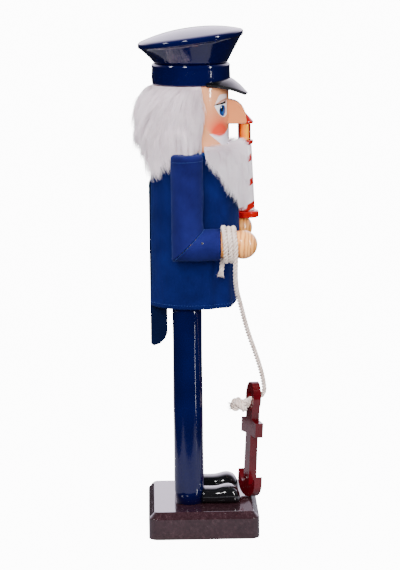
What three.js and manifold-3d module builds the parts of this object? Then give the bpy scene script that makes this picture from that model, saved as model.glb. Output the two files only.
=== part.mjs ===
// Nutcracker figure: a sea captain with a jaw lever, a lighthouse on the left fist and an anchor.
// Millimetres, +Z up, origin at the middle of the plinth's underside. The figure faces -Y and its
// right side is -X. Every piece is one closed solid, and touching pieces keep a gap of FIT.
import * as THREE from 'three';
import { mergeVertices } from 'three/addons/utils/BufferGeometryUtils.js';
import Module from 'manifold-3d';

const wasm = await Module();
wasm.setup();

// Driving dimensions
const FIT = 0.3;
const PLINTH = { width: 108, depth: 83, height: 20.5, chamfer: 4.5, corner: 3 };
const AXIS_Y = 5;
const LEG = { x: 19, y: 10.3, foot: 11.4, top: 10.9, height: 155.2 };
const LEG_SCREW = { shank: 1.9, head: 3.8, reach: 18 };
const SHOE = { width: 20.5, back: 2, length: 29.5, instep: 11.5, toe: 13.6 };
const TORSO = { radius: 30.9, bottom: 176, top: 288 };
const SLOT = { half: 10, floor: 262, channel: 24.3 };
const JACKET = { inner: 31.2, outer: 33, hem: 168, neck: 287, slit: 11, opening: 13.5 };
const HEAD = { radius: 28.2, top: 336.7, mouth: 293.4 };
const PIVOT = { y: 8, z: 281, pin: 1.5, length: 56 };
const JAW = { half: 9.6 };
const HAIR = { inner: 28.6, collar: 33.5, front: -5.5, bottom: 262 };
const BEARD = { inner: 33.5, outer: 40.3, top: 292.4, bottom: 244, back: -5.9 };
const BAND = { radius: 29, neck: 28.6, bottom: 337, top: 352.7 };
const CROWN = { rim: 39.5, rimZ: 370.3, rimHalf: 2.3, dome: 6.6, tilt: 0.122 };
const VISOR = { inner: 24, outer: 43, wrap: 29.8, reach: 42, thick: 2.8, root: 343, sag: 4.6, back: -6.2 };
const ARM = { x: 46, y: 9.6, core: 10.6, sleeve: 12, cloth: 1.1, shoulder: 288, elbow: 221.8, cuff: -14.2 };
const WRIST = { radius: 9.8, ball: 10.7, y: -31.1 };
const SHOULDER_Z = 270;
const NECK_DOWEL = { x: 19, y: -3, half: 9.5 };
const DOWEL = { radius: 3, head: 4 };
const ROPE = { diameter: 4, wrapInner: 10.4, wrapOuter: 14.2, wrapBack: -15.2, wrapFront: -27.2, knot: 6.4 };
const ANCHOR = { x: -4, footY: -35.6, thick: 6.2, turn: 20, lean: 3.2, eyeHeight: 77, eye: 4.4 };
const TOWER = { x: 45, y: -36.3, base: 230, disc: 10.5, foot: 7.6, neck: 5.6, gallery: 6.8, roof: 7 };

// Tools for solids
const ROUND = 32;
const SMALL_ROUND = 12;
const deg = THREE.MathUtils.degToRad;

function solid(geometry) {
  const bare = geometry.clone();
  bare.deleteAttribute('normal');
  bare.deleteAttribute('uv');
  const merged = mergeVertices(bare, 1e-4);
  const vertProperties = new Float32Array(merged.attributes.position.array);
  const triVerts = new Uint32Array(merged.index.array);
  return new wasm.Manifold(new wasm.Mesh({ numProp: 3, vertProperties, triVerts }));
}

function geometryOf(manifold) {
  const mesh = manifold.getMesh();
  const geometry = new THREE.BufferGeometry();
  geometry.setAttribute('position', new THREE.BufferAttribute(mesh.vertProperties, 3));
  geometry.setIndex(new THREE.BufferAttribute(mesh.triVerts, 1));
  geometry.computeVertexNormals();
  return geometry;
}

function cut(body, tools) {
  return geometryOf(tools.reduce((left, tool) => left.subtract(solid(tool)), solid(body)));
}

function join(parts) {
  return geometryOf(parts.slice(1).reduce((sum, part) => sum.add(solid(part)), solid(parts[0])));
}

function keep(body, tool) {
  return geometryOf(solid(body).intersect(solid(tool)));
}

// Turned part about a vertical axis: profile is a list of [radius, height].
function turned(profile, segments = ROUND) {
  const points = profile.map(([r, z]) => new THREE.Vector2(r, z));
  return new THREE.LatheGeometry(points, segments).rotateX(Math.PI / 2);
}

function rod(radius, from, to, segments = SMALL_ROUND) {
  return turned([[0, from], [radius, from], [radius, to], [0, to]], segments);
}

function tube(inner, outer, from, to, segments = ROUND) {
  const profile = [[inner, from], [outer, from], [outer, to], [inner, to], [inner, from]];
  return turned(profile, segments);
}

function box(x0, x1, y0, y1, z0, z1) {
  const block = new THREE.BoxGeometry(x1 - x0, y1 - y0, z1 - z0);
  return block.translate((x0 + x1) / 2, (y0 + y1) / 2, (z0 + z1) / 2);
}

// Flat outline in Y and Z, given thickness along X and centred on X = 0.
function plate(points, width) {
  const shape = new THREE.Shape(points.map(([y, z]) => new THREE.Vector2(y, z)));
  const slab = new THREE.ExtrudeGeometry(shape, { depth: width, bevelEnabled: false });
  slab.translate(0, 0, -width / 2);
  return slab.applyMatrix4(new THREE.Matrix4().set(0, 0, 1, 0, 1, 0, 0, 0, 0, 1, 0, 0, 0, 0, 0, 1));
}

// Materials
const navyGloss = { color: 0x0a1a5c, roughness: 0.15, metalness: 0 };
const plumGloss = { color: 0x3e2a30, roughness: 0.2, metalness: 0 };
const blackGloss = { color: 0x0a090a, roughness: 0.12, metalness: 0 };
const skinGloss = { color: 0xd79b78, roughness: 0.25, metalness: 0 };
const jacketCloth = { color: 0x1c3a86, roughness: 0.9, metalness: 0 };
const whiteFur = { color: 0xdcd0d7, roughness: 1, metalness: 0 };
const bareWood = { color: 0xe0b078, roughness: 0.5, metalness: 0 };
const redGloss = { color: 0xb8141c, roughness: 0.2, metalness: 0 };
const whiteGloss = { color: 0xf2eef0, roughness: 0.25, metalness: 0 };
const amberGlaze = { color: 0xf0a020, roughness: 0.2, metalness: 0 };
const maroonGloss = { color: 0x6e1419, roughness: 0.18, metalness: 0 };
const cottonRope = { color: 0xe4d6cf, roughness: 0.95, metalness: 0 };
const steel = { color: 0xa8a8a8, roughness: 0.35, metalness: 1 };

const figure = new THREE.Group();

function add(name, geometry, finish) {
  const mesh = new THREE.Mesh(geometry, new THREE.MeshStandardMaterial(finish));
  mesh.name = name;
  figure.add(mesh);
  return mesh;
}

const SIDES = [['right', -1], ['left', 1]];

// Plinth: a chamfered board with two countersunk holes for the leg screws.
function plinth() {
  const { width, depth, height, chamfer, corner } = PLINTH;
  const halfX = width / 2 - chamfer;
  const halfY = depth / 2 - chamfer;
  const shape = new THREE.Shape();
  shape.moveTo(-halfX + corner, -halfY);
  shape.absarc(halfX - corner, -halfY + corner, corner, -Math.PI / 2, 0);
  shape.absarc(halfX - corner, halfY - corner, corner, 0, Math.PI / 2);
  shape.absarc(-halfX + corner, halfY - corner, corner, Math.PI / 2, Math.PI);
  shape.absarc(-halfX + corner, -halfY + corner, corner, Math.PI, 1.5 * Math.PI);
  const options = { depth: height, bevelSize: chamfer, bevelThickness: chamfer, bevelSegments: 1, curveSegments: 3 };
  const board = new THREE.ExtrudeGeometry(shape, options).translate(0, 0, -chamfer);
  const below = box(-width, width, -depth, depth, -3 * chamfer, 0);
  const holes = SIDES.map(([, side]) => screwHole().translate(side * LEG.x, LEG.y, 0));
  return cut(board, [below, ...holes]);
}

function screwHole() {
  const { shank, head } = LEG_SCREW;
  const wall = shank + 0.5;
  const profile = [[0, -1], [head + 0.5, -1], [head + 0.5, 1], [wall, 4], [wall, 30], [0, 30]];
  return turned(profile, SMALL_ROUND);
}

// Countersunk wood screw, driven up through the plinth into a leg.
function legScrew() {
  const { shank, head, reach } = LEG_SCREW;
  const top = PLINTH.height + reach;
  return turned([[0, 0.4], [head, 0.4], [head, 1], [shank, 3.6], [shank, top - 4], [0, top]], SMALL_ROUND);
}

function leg() {
  const foot = PLINTH.height + FIT;
  const top = foot + LEG.height;
  const middle = (foot + top) / 2;
  const post = turned([[0, foot], [LEG.foot, foot], [LEG.foot - 0.3, middle], [LEG.top, top], [0, top]]);
  const screw = rod(LEG_SCREW.shank + 0.15, foot - 1, PLINTH.height + LEG_SCREW.reach + 1);
  const dowel = rod(DOWEL.radius + 0.15, top - 12, top + 1);
  return cut(post, [screw, dowel]);
}

// Shoe: a side outline with an arched instep, rounded in plan, hollowed where it meets the leg.
function shoe() {
  const sole = PLINTH.height + FIT;
  const shape = new THREE.Shape();
  shape.moveTo(SHOE.back, sole);
  shape.lineTo(SHOE.back, sole + SHOE.instep);
  shape.bezierCurveTo(-8, sole + SHOE.instep, -12, sole + SHOE.toe, -18, sole + SHOE.toe);
  shape.bezierCurveTo(-26, sole + SHOE.toe, -SHOE.length, sole + 9, -SHOE.length + 1.5, sole);
  const side = plate(shape.getPoints(5).map((p) => [p.x, p.y]), SHOE.width);
  const plan = new THREE.Shape();
  const half = SHOE.width / 2;
  plan.moveTo(-half, SHOE.back + 1);
  plan.absarc(0, -SHOE.length + half, half, Math.PI, 2 * Math.PI);
  plan.lineTo(half, SHOE.back + 1);
  const outline = new THREE.ExtrudeGeometry(plan, { depth: 30, bevelEnabled: false, curveSegments: 12 });
  const rounded = keep(side, outline.translate(0, 0, sole - 1));
  return cut(rounded, [rod(LEG.foot + FIT, sole - 5, sole + 40, ROUND).translate(0, LEG.y, 0)]);
}

// Wooden dowels, all of one kind, laid where they join two pieces.
function addDowels() {
  const legTop = PLINTH.height + FIT + LEG.height;
  for (const [side, sign] of SIDES) {
    add(`${side}_leg_dowel`, rod(DOWEL.radius, legTop - 11.5, legTop + 11.5), bareWood)
      .position.set(sign * LEG.x, LEG.y, 0);
    add(`${side}_neck_dowel`, rod(DOWEL.radius, TORSO.top - NECK_DOWEL.half, TORSO.top + NECK_DOWEL.half), bareWood)
      .position.set(sign * NECK_DOWEL.x, NECK_DOWEL.y, 0);
    add(`${side}_shoulder_dowel`, crossRod(DOWEL.radius, sign * 21, sign * 44), bareWood)
      .position.set(0, ARM.y, SHOULDER_Z);
    add(`${side}_elbow_dowel`, slanted(rod(DOWEL.radius - 0.5, -7, 7)), bareWood)
      .position.set(sign * ARM.x, ARM.y, ARM.elbow);
  }
  add('hat_dowel', rod(DOWEL.head, BAND.bottom - 10, BAND.bottom + 10), bareWood).position.set(0, AXIS_Y, 0);
}

// Rod along X between two places.
function crossRod(radius, a, b, segments = SMALL_ROUND) {
  return rod(radius, Math.min(a, b), Math.max(a, b), segments).rotateY(Math.PI / 2);
}

function slanted(geometry) {
  return geometry.rotateX(deg(135));
}

// Torso: turned block, sawn through at the top for the jaw and channelled down its back.
function torso() {
  const { radius, bottom, top } = TORSO;
  const block = turned([[0, bottom], [radius, bottom], [radius, top], [0, top]]).translate(0, AXIS_Y, 0);
  const tools = [
    box(-SLOT.half, SLOT.half, -60, 60, SLOT.floor, top + 1),
    box(-SLOT.half, SLOT.half, SLOT.channel, 60, bottom - 1, top + 1),
    crossRod(PIVOT.pin + 0.05, -40, 40).translate(0, PIVOT.y, PIVOT.z),
  ];
  for (const [, sign] of SIDES) {
    const shoulder = crossRod(DOWEL.radius + 0.15, sign * 20.5, sign * 40);
    tools.push(rod(DOWEL.radius + 0.15, bottom - 1, bottom + 12.5).translate(sign * LEG.x, LEG.y, 0));
    tools.push(rod(DOWEL.radius + 0.15, top - 10, top + 1).translate(sign * NECK_DOWEL.x, NECK_DOWEL.y, 0));
    tools.push(shoulder.translate(0, ARM.y, SHOULDER_Z));
  }
  return cut(block, tools);
}

// Jacket: a cloth shell, slit up the back for the lever and open at the throat for the jaw.
function jacket() {
  const { inner, outer, hem, neck, slit, opening } = JACKET;
  const shell = tube(inner, outer, hem, neck, 40).translate(0, AXIS_Y, 0);
  const tools = [
    box(-slit, slit, AXIS_Y, 60, hem - 1, neck - 4),
    box(-opening, opening, -60, AXIS_Y, SLOT.floor - 1, neck + 1),
  ];
  for (const [, sign] of SIDES) {
    tools.push(crossRod(DOWEL.radius + 0.4, sign * 25, sign * 40).translate(0, ARM.y, SHOULDER_Z));
  }
  return cut(shell, tools);
}

function head() {
  const { radius, top, mouth } = HEAD;
  const bottom = TORSO.top + FIT;
  const block = turned([[0, bottom], [radius, bottom], [radius, top], [0, top]]).translate(0, AXIS_Y, 0);
  const tools = [
    box(-SLOT.half, SLOT.half, -60, 20, bottom - 1, mouth),
    box(-SLOT.half, SLOT.half, 15, 60, bottom - 1, bottom + 3.5),
    rod(DOWEL.head + 0.15, top - 10, top + 1).translate(0, AXIS_Y, 0),
  ];
  for (const [, sign] of SIDES) {
    tools.push(rod(DOWEL.radius + 0.15, bottom - 1, bottom + 10).translate(sign * NECK_DOWEL.x, NECK_DOWEL.y, 0));
  }
  return cut(block, tools);
}

// Nose: a hooked wedge sawn from thin board and glued to the face.
function nose() {
  const shape = new THREE.Shape();
  shape.moveTo(-18, 307);
  shape.lineTo(-35.4, 307.3);
  shape.quadraticCurveTo(-36.4, 308, -36.2, 310.5);
  shape.bezierCurveTo(-35.6, 316, -33, 322, -28, 324.4);
  shape.lineTo(-23, 325.6);
  shape.lineTo(-18, 325.6);
  const wedge = plate(shape.getPoints(6).map((p) => [p.x, p.y]), 13);
  return cut(wedge, [rod(HEAD.radius + FIT, 290, 340, ROUND).translate(0, AXIS_Y, 0)]);
}

// Jaw and lever: one sawn bar, jaw at the front, handle down the back, turning on a steel pin.
function jawLever() {
  const outline = [
    [-23.6, 292.4], [-23.6, 272.8], [-6, 270.6], [16, 268.5], [24.7, 262], [25.2, 150], [27, 145.5],
    [31, 141.5], [35.8, 140], [37.9, 142], [37.9, 262], [35.5, 268], [30, 283], [18, 288.5], [8, 291.2],
  ];
  const bar = plate(outline, 2 * JAW.half);
  return cut(bar, [crossRod(PIVOT.pin + 0.1, -20, 20).translate(0, PIVOT.y, PIVOT.z)]);
}

// Hair: a fur cap glued round the back of the head, notched over the shoulders and the lever.
function hair() {
  const { inner, collar, front, bottom } = HAIR;
  const profile = [
    [collar, bottom], [36.5, bottom], [41.5, 277], [44.4, 292], [44.8, 310], [42.5, 326], [36, 335.5],
    [inner, HEAD.top - 0.5], [inner, TORSO.top + 1], [collar, TORSO.top + 1], [collar, bottom],
  ];
  const cap = turned(profile, 40).translate(0, AXIS_Y, 0);
  const tools = [
    box(-60, 60, -60, front, 200, 400),
    box(-60, -33, -60, 60, 200, ARM.shoulder + 1),
    box(33, 60, -60, 60, 200, ARM.shoulder + 1),
    box(-60, 60, -60, 14, 200, TORSO.top + 0.5),
    box(-JACKET.slit, JACKET.slit, 0, 60, 200, 283),
  ];
  return cut(cap, tools);
}

// Beard: a fur bib glued to the front of the jaw, with a sloping lower edge.
function beard() {
  const { inner, outer, top, bottom, back } = BEARD;
  const bib = tube(inner, outer, bottom, top, 40).translate(0, AXIS_Y, 0);
  const root = box(-JAW.half, JAW.half, AXIS_Y - inner - 1, -23.9, 272, top);
  const slope = plate([[20, 200], [-30, 200], [-36.5, bottom], [-5, 271], [20, 290]], 120);
  return cut(join([bib, root]), [box(-60, 60, back, 60, 200, 400), slope]);
}

function hatBand() {
  const { radius, neck, bottom, top } = BAND;
  const profile = [
    [0, bottom], [radius, bottom], [radius + 0.5, bottom + 4], [radius + 0.5, top - 3], [neck, top], [0, top],
  ];
  return cut(turned(profile), [rod(DOWEL.head + 0.15, bottom - 1, bottom + 10.5)]).translate(0, AXIS_Y, 0);
}

// Crown: turned flare and domed top, its rim sawn at a tilt that rises to the front.
function hatCrown() {
  const { rim, rimZ, rimHalf, dome, tilt } = CROWN;
  const bottom = BAND.top + FIT;
  const profile = [
    [0, bottom], [BAND.neck, bottom], [rim - 0.8, rimZ - rimHalf], [rim, rimZ], [rim - 1, rimZ + rimHalf],
    [rim * 0.82, rimZ + rimHalf + dome * 0.4], [rim * 0.5, rimZ + rimHalf + dome * 0.8], [0, rimZ + rimHalf + dome],
  ];
  const crown = turned(profile);
  const position = crown.attributes.position;
  for (let i = 0; i < position.count; i += 1) {
    const share = Math.min(1, (position.getZ(i) - bottom) / (rimZ - rimHalf - bottom));
    position.setZ(i, position.getZ(i) - share * tilt * position.getY(i));
  }
  return crown.translate(0, AXIS_Y, 0);
}

// Visor: a curved peak let in under the front of the band, lower at its two ends.
function hatVisor() {
  const { inner, outer, wrap, reach, thick, root, sag, back } = VISOR;
  const skirt = [[inner, root], [31, root - 3.6], [37, root - 9.4], [outer, root - 17]];
  const upper = skirt.map(([r, z]) => [r, z + thick]).reverse();
  const cone = turned([...skirt, ...upper, skirt[0]], 40);
  const position = cone.attributes.position;
  for (let i = 0; i < position.count; i += 1) {
    const ahead = Math.min(1, Math.max(0, -position.getY(i) / outer));
    position.setZ(i, position.getZ(i) - sag * (1 - ahead));
  }
  const plan = new THREE.Shape();
  plan.absellipse(0, 0, wrap, reach, 0, 2 * Math.PI);
  const outline = new THREE.ExtrudeGeometry(plan, { depth: 60, bevelEnabled: false, curveSegments: 20 });
  const trimmed = keep(cone, outline.translate(0, 0, 300)).translate(0, AXIS_Y, 0);
  return cut(trimmed, [
    box(-60, 60, back, 60, 300, 400),
    rod(BAND.radius + 0.5 + FIT, BAND.bottom - FIT, 400, ROUND).translate(0, AXIS_Y, 0),
    rod(HEAD.radius + FIT, 300, 400, ROUND).translate(0, AXIS_Y, 0),
  ]);
}

// Arms: two cores mitred at the elbow, each in a cloth sleeve.
function mitre(above) {
  const { elbow, y } = ARM;
  const big = 120;
  const gap = FIT * Math.SQRT1_2 * (above ? 1 : -1);
  const wedge = above
    ? [[y - big, elbow + big + gap], [y + big, elbow - big + gap], [y + big, elbow + big + gap]]
    : [[y - big, elbow + big + gap], [y - big, elbow - big + gap], [y + big, elbow - big + gap]];
  return plate(wedge, 60);
}

function upperRod(radius, top) {
  return rod(radius, 180, top, 28).translate(0, ARM.y, 0);
}

function forearmRod(radius, front) {
  const long = turned([[0, -60], [radius, -60], [radius, -front], [0, -front]], 28);
  return long.rotateX(Math.PI / 2).translate(0, 0, ARM.elbow);
}

function upperArm(sign) {
  const core = keep(upperRod(ARM.core, ARM.shoulder - ARM.cloth - FIT), mitre(true));
  return cut(core, [
    crossRod(DOWEL.radius + 0.15, -sign * 20, -sign * 1.6).translate(0, ARM.y, SHOULDER_Z),
    slanted(rod(DOWEL.radius - 0.35, -8, 8)).translate(0, ARM.y, ARM.elbow),
  ]);
}

function forearm() {
  const core = keep(forearmRod(ARM.core, ARM.cuff + 1), mitre(false));
  return cut(core, [
    slanted(rod(DOWEL.radius - 0.35, -8, 8)).translate(0, ARM.y, ARM.elbow),
    wristPeg(DOWEL.radius + 0.15, -30, -4),
  ]);
}

function upperSleeve(sign) {
  const shell = cut(upperRod(ARM.sleeve, ARM.shoulder), [upperRod(ARM.core + FIT, ARM.shoulder - ARM.cloth)]);
  return cut(keep(shell, mitre(true)), [
    crossRod(DOWEL.radius + 0.4, -sign * 20, -sign * 5).translate(0, ARM.y, SHOULDER_Z),
  ]);
}

function lowerSleeve() {
  const shell = cut(forearmRod(ARM.sleeve, ARM.cuff), [forearmRod(ARM.core + FIT, ARM.cuff - 5)]);
  return keep(shell, mitre(false));
}

// Peg along Y between two places, at the height of the forearm.
function wristPeg(radius, front, back) {
  return rod(radius, -back, -front).rotateX(Math.PI / 2).translate(0, 0, ARM.elbow);
}

// Fist: a wooden ball on a thick wrist, turned in one and pegged into the forearm.
function fist(flatTop) {
  const ball = new THREE.SphereGeometry(WRIST.ball, 20, 12).translate(0, WRIST.y, ARM.elbow);
  const neck = rod(WRIST.radius, -ARM.cuff + 0.6, -WRIST.y, 20).rotateX(Math.PI / 2).translate(0, 0, ARM.elbow);
  const tools = [wristPeg(DOWEL.radius + 0.15, -26, 0)];
  if (flatTop) tools.push(box(-20, 20, -60, 0, TOWER.base - FIT, 260));
  return cut(join([ball, neck]), tools);
}

function addArms() {
  for (const [side, sign] of SIDES) {
    const pieces = [
      ['upper_arm', upperArm(sign), bareWood],
      ['forearm', forearm(), bareWood],
      ['upper_sleeve', upperSleeve(sign), jacketCloth],
      ['lower_sleeve', lowerSleeve(), jacketCloth],
      ['wrist_dowel', wristPeg(DOWEL.radius, -25, -5), bareWood],
      ['hand', fist(side === 'left'), bareWood],
    ];
    for (const [name, geometry, finish] of pieces) {
      add(`${side}_${name}`, geometry, finish).position.x = sign * ARM.x;
    }
  }
}

// Lighthouse on the left fist, stacked from the base disc up to the roof.
function addLighthouse() {
  const { base, disc, foot, neck, gallery, roof } = TOWER;
  const floor = base + 5.5;
  const deck = 286.3;
  const lamp = deck + 3.9;
  const eaves = 302.6;
  const pieces = [
    ['lighthouse_base', [[0, base], [disc, base], [disc, base + 5.2], [0, base + 5.2]], redGloss],
    ['lighthouse_tower', [[0, floor], [foot, floor], [neck, deck - FIT], [0, deck - FIT]], whiteGloss],
    ['lighthouse_gallery', [[0, deck], [gallery, deck], [gallery, deck + 3.6], [0, deck + 3.6]], redGloss],
    ['lighthouse_lantern', [[0, lamp], [neck - 1, lamp], [neck - 1, eaves - FIT], [0, eaves - FIT]], amberGlaze],
    ['lighthouse_roof', [[0, eaves], [roof, eaves], [roof, eaves + 1.6], [0, eaves + 9.2]], redGloss],
  ];
  for (const [name, profile, finish] of pieces) {
    add(name, turned(profile, 20), finish).position.set(TOWER.x, TOWER.y, 0);
  }
  for (let i = 0; i < 4; i += 1) {
    const turn = (i + 0.5) * Math.PI / 2;
    const post = rod(0.8, lamp, eaves - FIT, 8);
    add(`lantern_post_${i + 1}`, post, redGloss)
      .position.set(TOWER.x + 5.7 * Math.cos(turn), TOWER.y + 5.7 * Math.sin(turn), 0);
  }
}

// Anchor: a board sawn to an outline, standing on the plinth in front of the toes.
function anchor() {
  const { thick, eyeHeight, eye } = ANCHOR;
  const half = [
    [5.4, 10.2], [4.9, 48.5], [14, 48], [14.4, 59], [6, 60],
  ];
  const headWidth = 8;
  const headHeight = 12;
  const neck = Math.acos(half[4][0] / headWidth);
  const shape = new THREE.Shape();
  shape.moveTo(0, 0);
  shape.bezierCurveTo(9, 0.4, 14.5, 3.5, 16.5, 10);
  shape.lineTo(16.3, 18);
  shape.bezierCurveTo(13, 12.5, 9, 9.8, ...half[0]);
  half.slice(1).forEach(([u, v]) => shape.lineTo(u, v));
  shape.absellipse(0, eyeHeight, headWidth, headHeight, -neck, Math.PI + neck, false);
  half.slice(1).reverse().forEach(([u, v]) => shape.lineTo(-u, v));
  shape.lineTo(-half[0][0], half[0][1]);
  shape.bezierCurveTo(-9, 9.8, -13, 12.5, -16.3, 18);
  shape.lineTo(-16.5, 10);
  shape.bezierCurveTo(-14.5, 3.5, -9, 0.4, 0, 0);
  const hole = new THREE.Path();
  hole.absarc(0, eyeHeight, eye, 0, 2 * Math.PI, true);
  shape.holes.push(hole);
  const board = new THREE.ExtrudeGeometry(shape, { depth: thick, bevelEnabled: false, curveSegments: 8 });
  board.translate(0, 0, -thick / 2).rotateX(Math.PI / 2 + deg(ANCHOR.lean)).rotateZ(deg(ANCHOR.turn));
  board.translate(ANCHOR.x, ANCHOR.footY, PLINTH.height + FIT);
  return cut(board, [box(-80, 80, -90, 80, -5, PLINTH.height + FIT)]);
}

// Rope: wound round the right wrist, hanging to the anchor's ring and knotted behind it.
function addRope() {
  const { wrapInner, wrapOuter, wrapBack, wrapFront, diameter, knot } = ROPE;
  const ring = tube(wrapInner, wrapOuter, -wrapBack, -wrapFront, 24).rotateX(Math.PI / 2);
  add('rope_wrist_wrap', ring, cottonRope).position.set(-ARM.x, 0, ARM.elbow);
  const route = [
    [-58, -25.2, 211.2], [-57, -25, 205.5], [-54.9, -25, 199], [-51.8, -25.4, 193], [-48.2, -26.2, 187.3],
    [-44.2, -27.6, 181.3], [-39.5, -29.5, 173.7], [-34.2, -31.8, 164.2], [-28.8, -34.6, 153.7], [-23.4, -38, 143],
    [-18.4, -41.2, 133.3], [-13.6, -44, 123.8], [-9.6, -46, 115.8], [-6.2, -47.2, 109.2], [-3.7, -47.7, 103.8],
    [-2.3, -46.5, 99.7], [-2.6, -43.6, 97.7], [-4.1, -39.6, 97.2], [-5.8, -35.4, 96.3],
  ].map(([x, y, z]) => new THREE.Vector3(x, y, z));
  const path = new THREE.CatmullRomCurve3(route, false, 'centripetal');
  const section = new THREE.Shape();
  section.absarc(0, 0, diameter / 2, 0, 2 * Math.PI);
  const options = { steps: 24, curveSegments: 4, bevelEnabled: false, extrudePath: path };
  add('anchor_rope', new THREE.ExtrudeGeometry(section, options), cottonRope);
  add('rope_knot', new THREE.SphereGeometry(knot, 16, 10), cottonRope).position.set(-7.6, -29.6, 93);
}

function jawPin() {
  return crossRod(PIVOT.pin, -PIVOT.length / 2, PIVOT.length / 2).translate(0, PIVOT.y, PIVOT.z);
}

add('base_plinth', plinth(), plumGloss);
for (const [side, sign] of SIDES) {
  add(`${side}_leg`, leg(), navyGloss).position.set(sign * LEG.x, LEG.y, 0);
  add(`${side}_leg_screw`, legScrew(), steel).position.set(sign * LEG.x, LEG.y, 0);
  add(`${side}_shoe`, shoe(), blackGloss).position.x = sign * LEG.x;
}
add('torso', torso(), jacketCloth);
add('jacket', jacket(), jacketCloth);
add('head', head(), skinGloss);
add('nose', nose(), skinGloss);
add('hair', hair(), whiteFur);
add('beard', beard(), whiteFur);
add('jaw_lever', jawLever(), navyGloss);
add('jaw_pin', jawPin(), steel);
add('hat_band', hatBand(), navyGloss);
add('hat_crown', hatCrown(), navyGloss);
add('hat_visor', hatVisor(), blackGloss);
addDowels();
addArms();
addLighthouse();
add('anchor', anchor(), maroonGloss);
addRope();

export default figure;
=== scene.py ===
import math
import random

import bmesh
import bpy
from mathutils import Matrix, Vector, noise


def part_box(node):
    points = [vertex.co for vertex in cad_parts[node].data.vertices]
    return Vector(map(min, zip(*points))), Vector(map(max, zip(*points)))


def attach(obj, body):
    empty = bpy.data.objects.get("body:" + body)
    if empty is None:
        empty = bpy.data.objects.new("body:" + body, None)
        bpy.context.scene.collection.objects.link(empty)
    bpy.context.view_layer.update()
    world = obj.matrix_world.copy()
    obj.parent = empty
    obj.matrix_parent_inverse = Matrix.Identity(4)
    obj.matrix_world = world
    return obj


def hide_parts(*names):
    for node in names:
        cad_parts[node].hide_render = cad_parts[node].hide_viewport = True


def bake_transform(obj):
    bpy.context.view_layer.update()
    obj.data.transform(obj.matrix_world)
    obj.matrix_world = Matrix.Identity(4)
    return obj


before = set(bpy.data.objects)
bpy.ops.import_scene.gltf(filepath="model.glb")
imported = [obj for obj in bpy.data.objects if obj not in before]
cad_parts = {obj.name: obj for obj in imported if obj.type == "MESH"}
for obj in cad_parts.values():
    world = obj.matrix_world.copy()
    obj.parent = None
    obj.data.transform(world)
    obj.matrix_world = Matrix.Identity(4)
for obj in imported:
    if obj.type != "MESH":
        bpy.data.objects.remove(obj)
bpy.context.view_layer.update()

MM = 0.001


# Camera. It stands level with the hat on the figure's right, a little behind the toes,
# and looks down at the chest through a long lens.
eye_place = Vector((-1.819, 0.035, 0.484))
look_down = math.radians(9.35)
look_ahead = math.radians(1.1)
lean = math.radians(0.7)
forward = Vector((
    math.cos(look_down) * math.cos(look_ahead),
    -math.cos(look_down) * math.sin(look_ahead),
    -math.sin(look_down),
))
level_right = forward.cross(Vector((0, 0, 1))).normalized()
level_up = level_right.cross(forward)
up = level_up * math.cos(lean) + level_right * math.sin(lean)
right = level_right * math.cos(lean) - level_up * math.sin(lean)
camera = bpy.data.objects.new("camera", bpy.data.cameras.new("camera"))
camera.data.lens = 153.6
camera.matrix_world = Matrix((
    (right.x, up.x, -forward.x, eye_place.x),
    (right.y, up.y, -forward.y, eye_place.y),
    (right.z, up.z, -forward.z, eye_place.z),
    (0, 0, 0, 1),
))
bpy.context.scene.collection.objects.link(camera)
bpy.context.scene.camera = camera


# Rope. A cream cotton rope laid from three strands: one frayed end hangs under the right wrist,
# it is wound on the wrist, hangs to the anchor, goes through its eye and ends in a knot.
ROPE_DIAMETER = 0.004
WRIST_AXIS = Vector((-0.046, 0, 0.2218))
WIND_RADIUS = 0.0123
WIND_TURNS = 2.5
wrap_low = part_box("rope_wrist_wrap")[0]
knot_low, knot_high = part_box("rope_knot")
knot_centre = (knot_low + knot_high) / 2


def new_piece(name, vertices, faces, smooth=True):
    mesh = bpy.data.meshes.new(name)
    mesh.from_pydata([tuple(v) for v in vertices], [], faces)
    mesh.validate()
    mesh.polygons.foreach_set("use_smooth", [smooth] * len(mesh.polygons))
    piece = bpy.data.objects.new(name, mesh)
    bpy.context.scene.collection.objects.link(piece)
    return piece


def fit_out(piece, body, slot_name, material, *nodes):
    piece.data.materials.clear()
    piece.data.materials.append(material)
    if body:
        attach(piece, body)
    if nodes:
        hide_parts(*nodes)


def smooth_route(points, per_span):
    """Even curve through a list of points."""
    ends = [points[0] * 2 - points[1], *points, points[-1] * 2 - points[-2]]
    route = []
    for a, b, c, d in zip(ends, ends[1:], ends[2:], ends[3:]):
        for k in range(per_span):
            t = k / per_span
            route.append(
                0.5 * (2 * b + (c - a) * t + (2 * a - 5 * b + 4 * c - d) * t**2
                       + (3 * b - a - 3 * c + d) * t**3)
            )
    return [*route, points[-1]]


def spaced(route, step):
    """The same route, with its points a fixed step apart."""
    out = [route[0]]
    left = step
    for a, b in zip(route, route[1:]):
        length = (b - a).length
        done = 0
        while length - done > left:
            done += left
            out.append(a.lerp(b, done / length))
            left = step
        left -= length - done
    return [*out, route[-1]]


def frames_along(route):
    """Side and upward directions carried along a route without twisting."""
    heading = (route[1] - route[0]).normalized()
    side = heading.orthogonal().normalized()
    frames = []
    for i, point in enumerate(route):
        ahead = route[min(i + 1, len(route) - 1)] - route[max(i - 1, 0)]
        heading = ahead.normalized()
        side = (side - heading * side.dot(heading)).normalized()
        frames.append((point, side, heading.cross(side)))
    return frames


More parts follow.
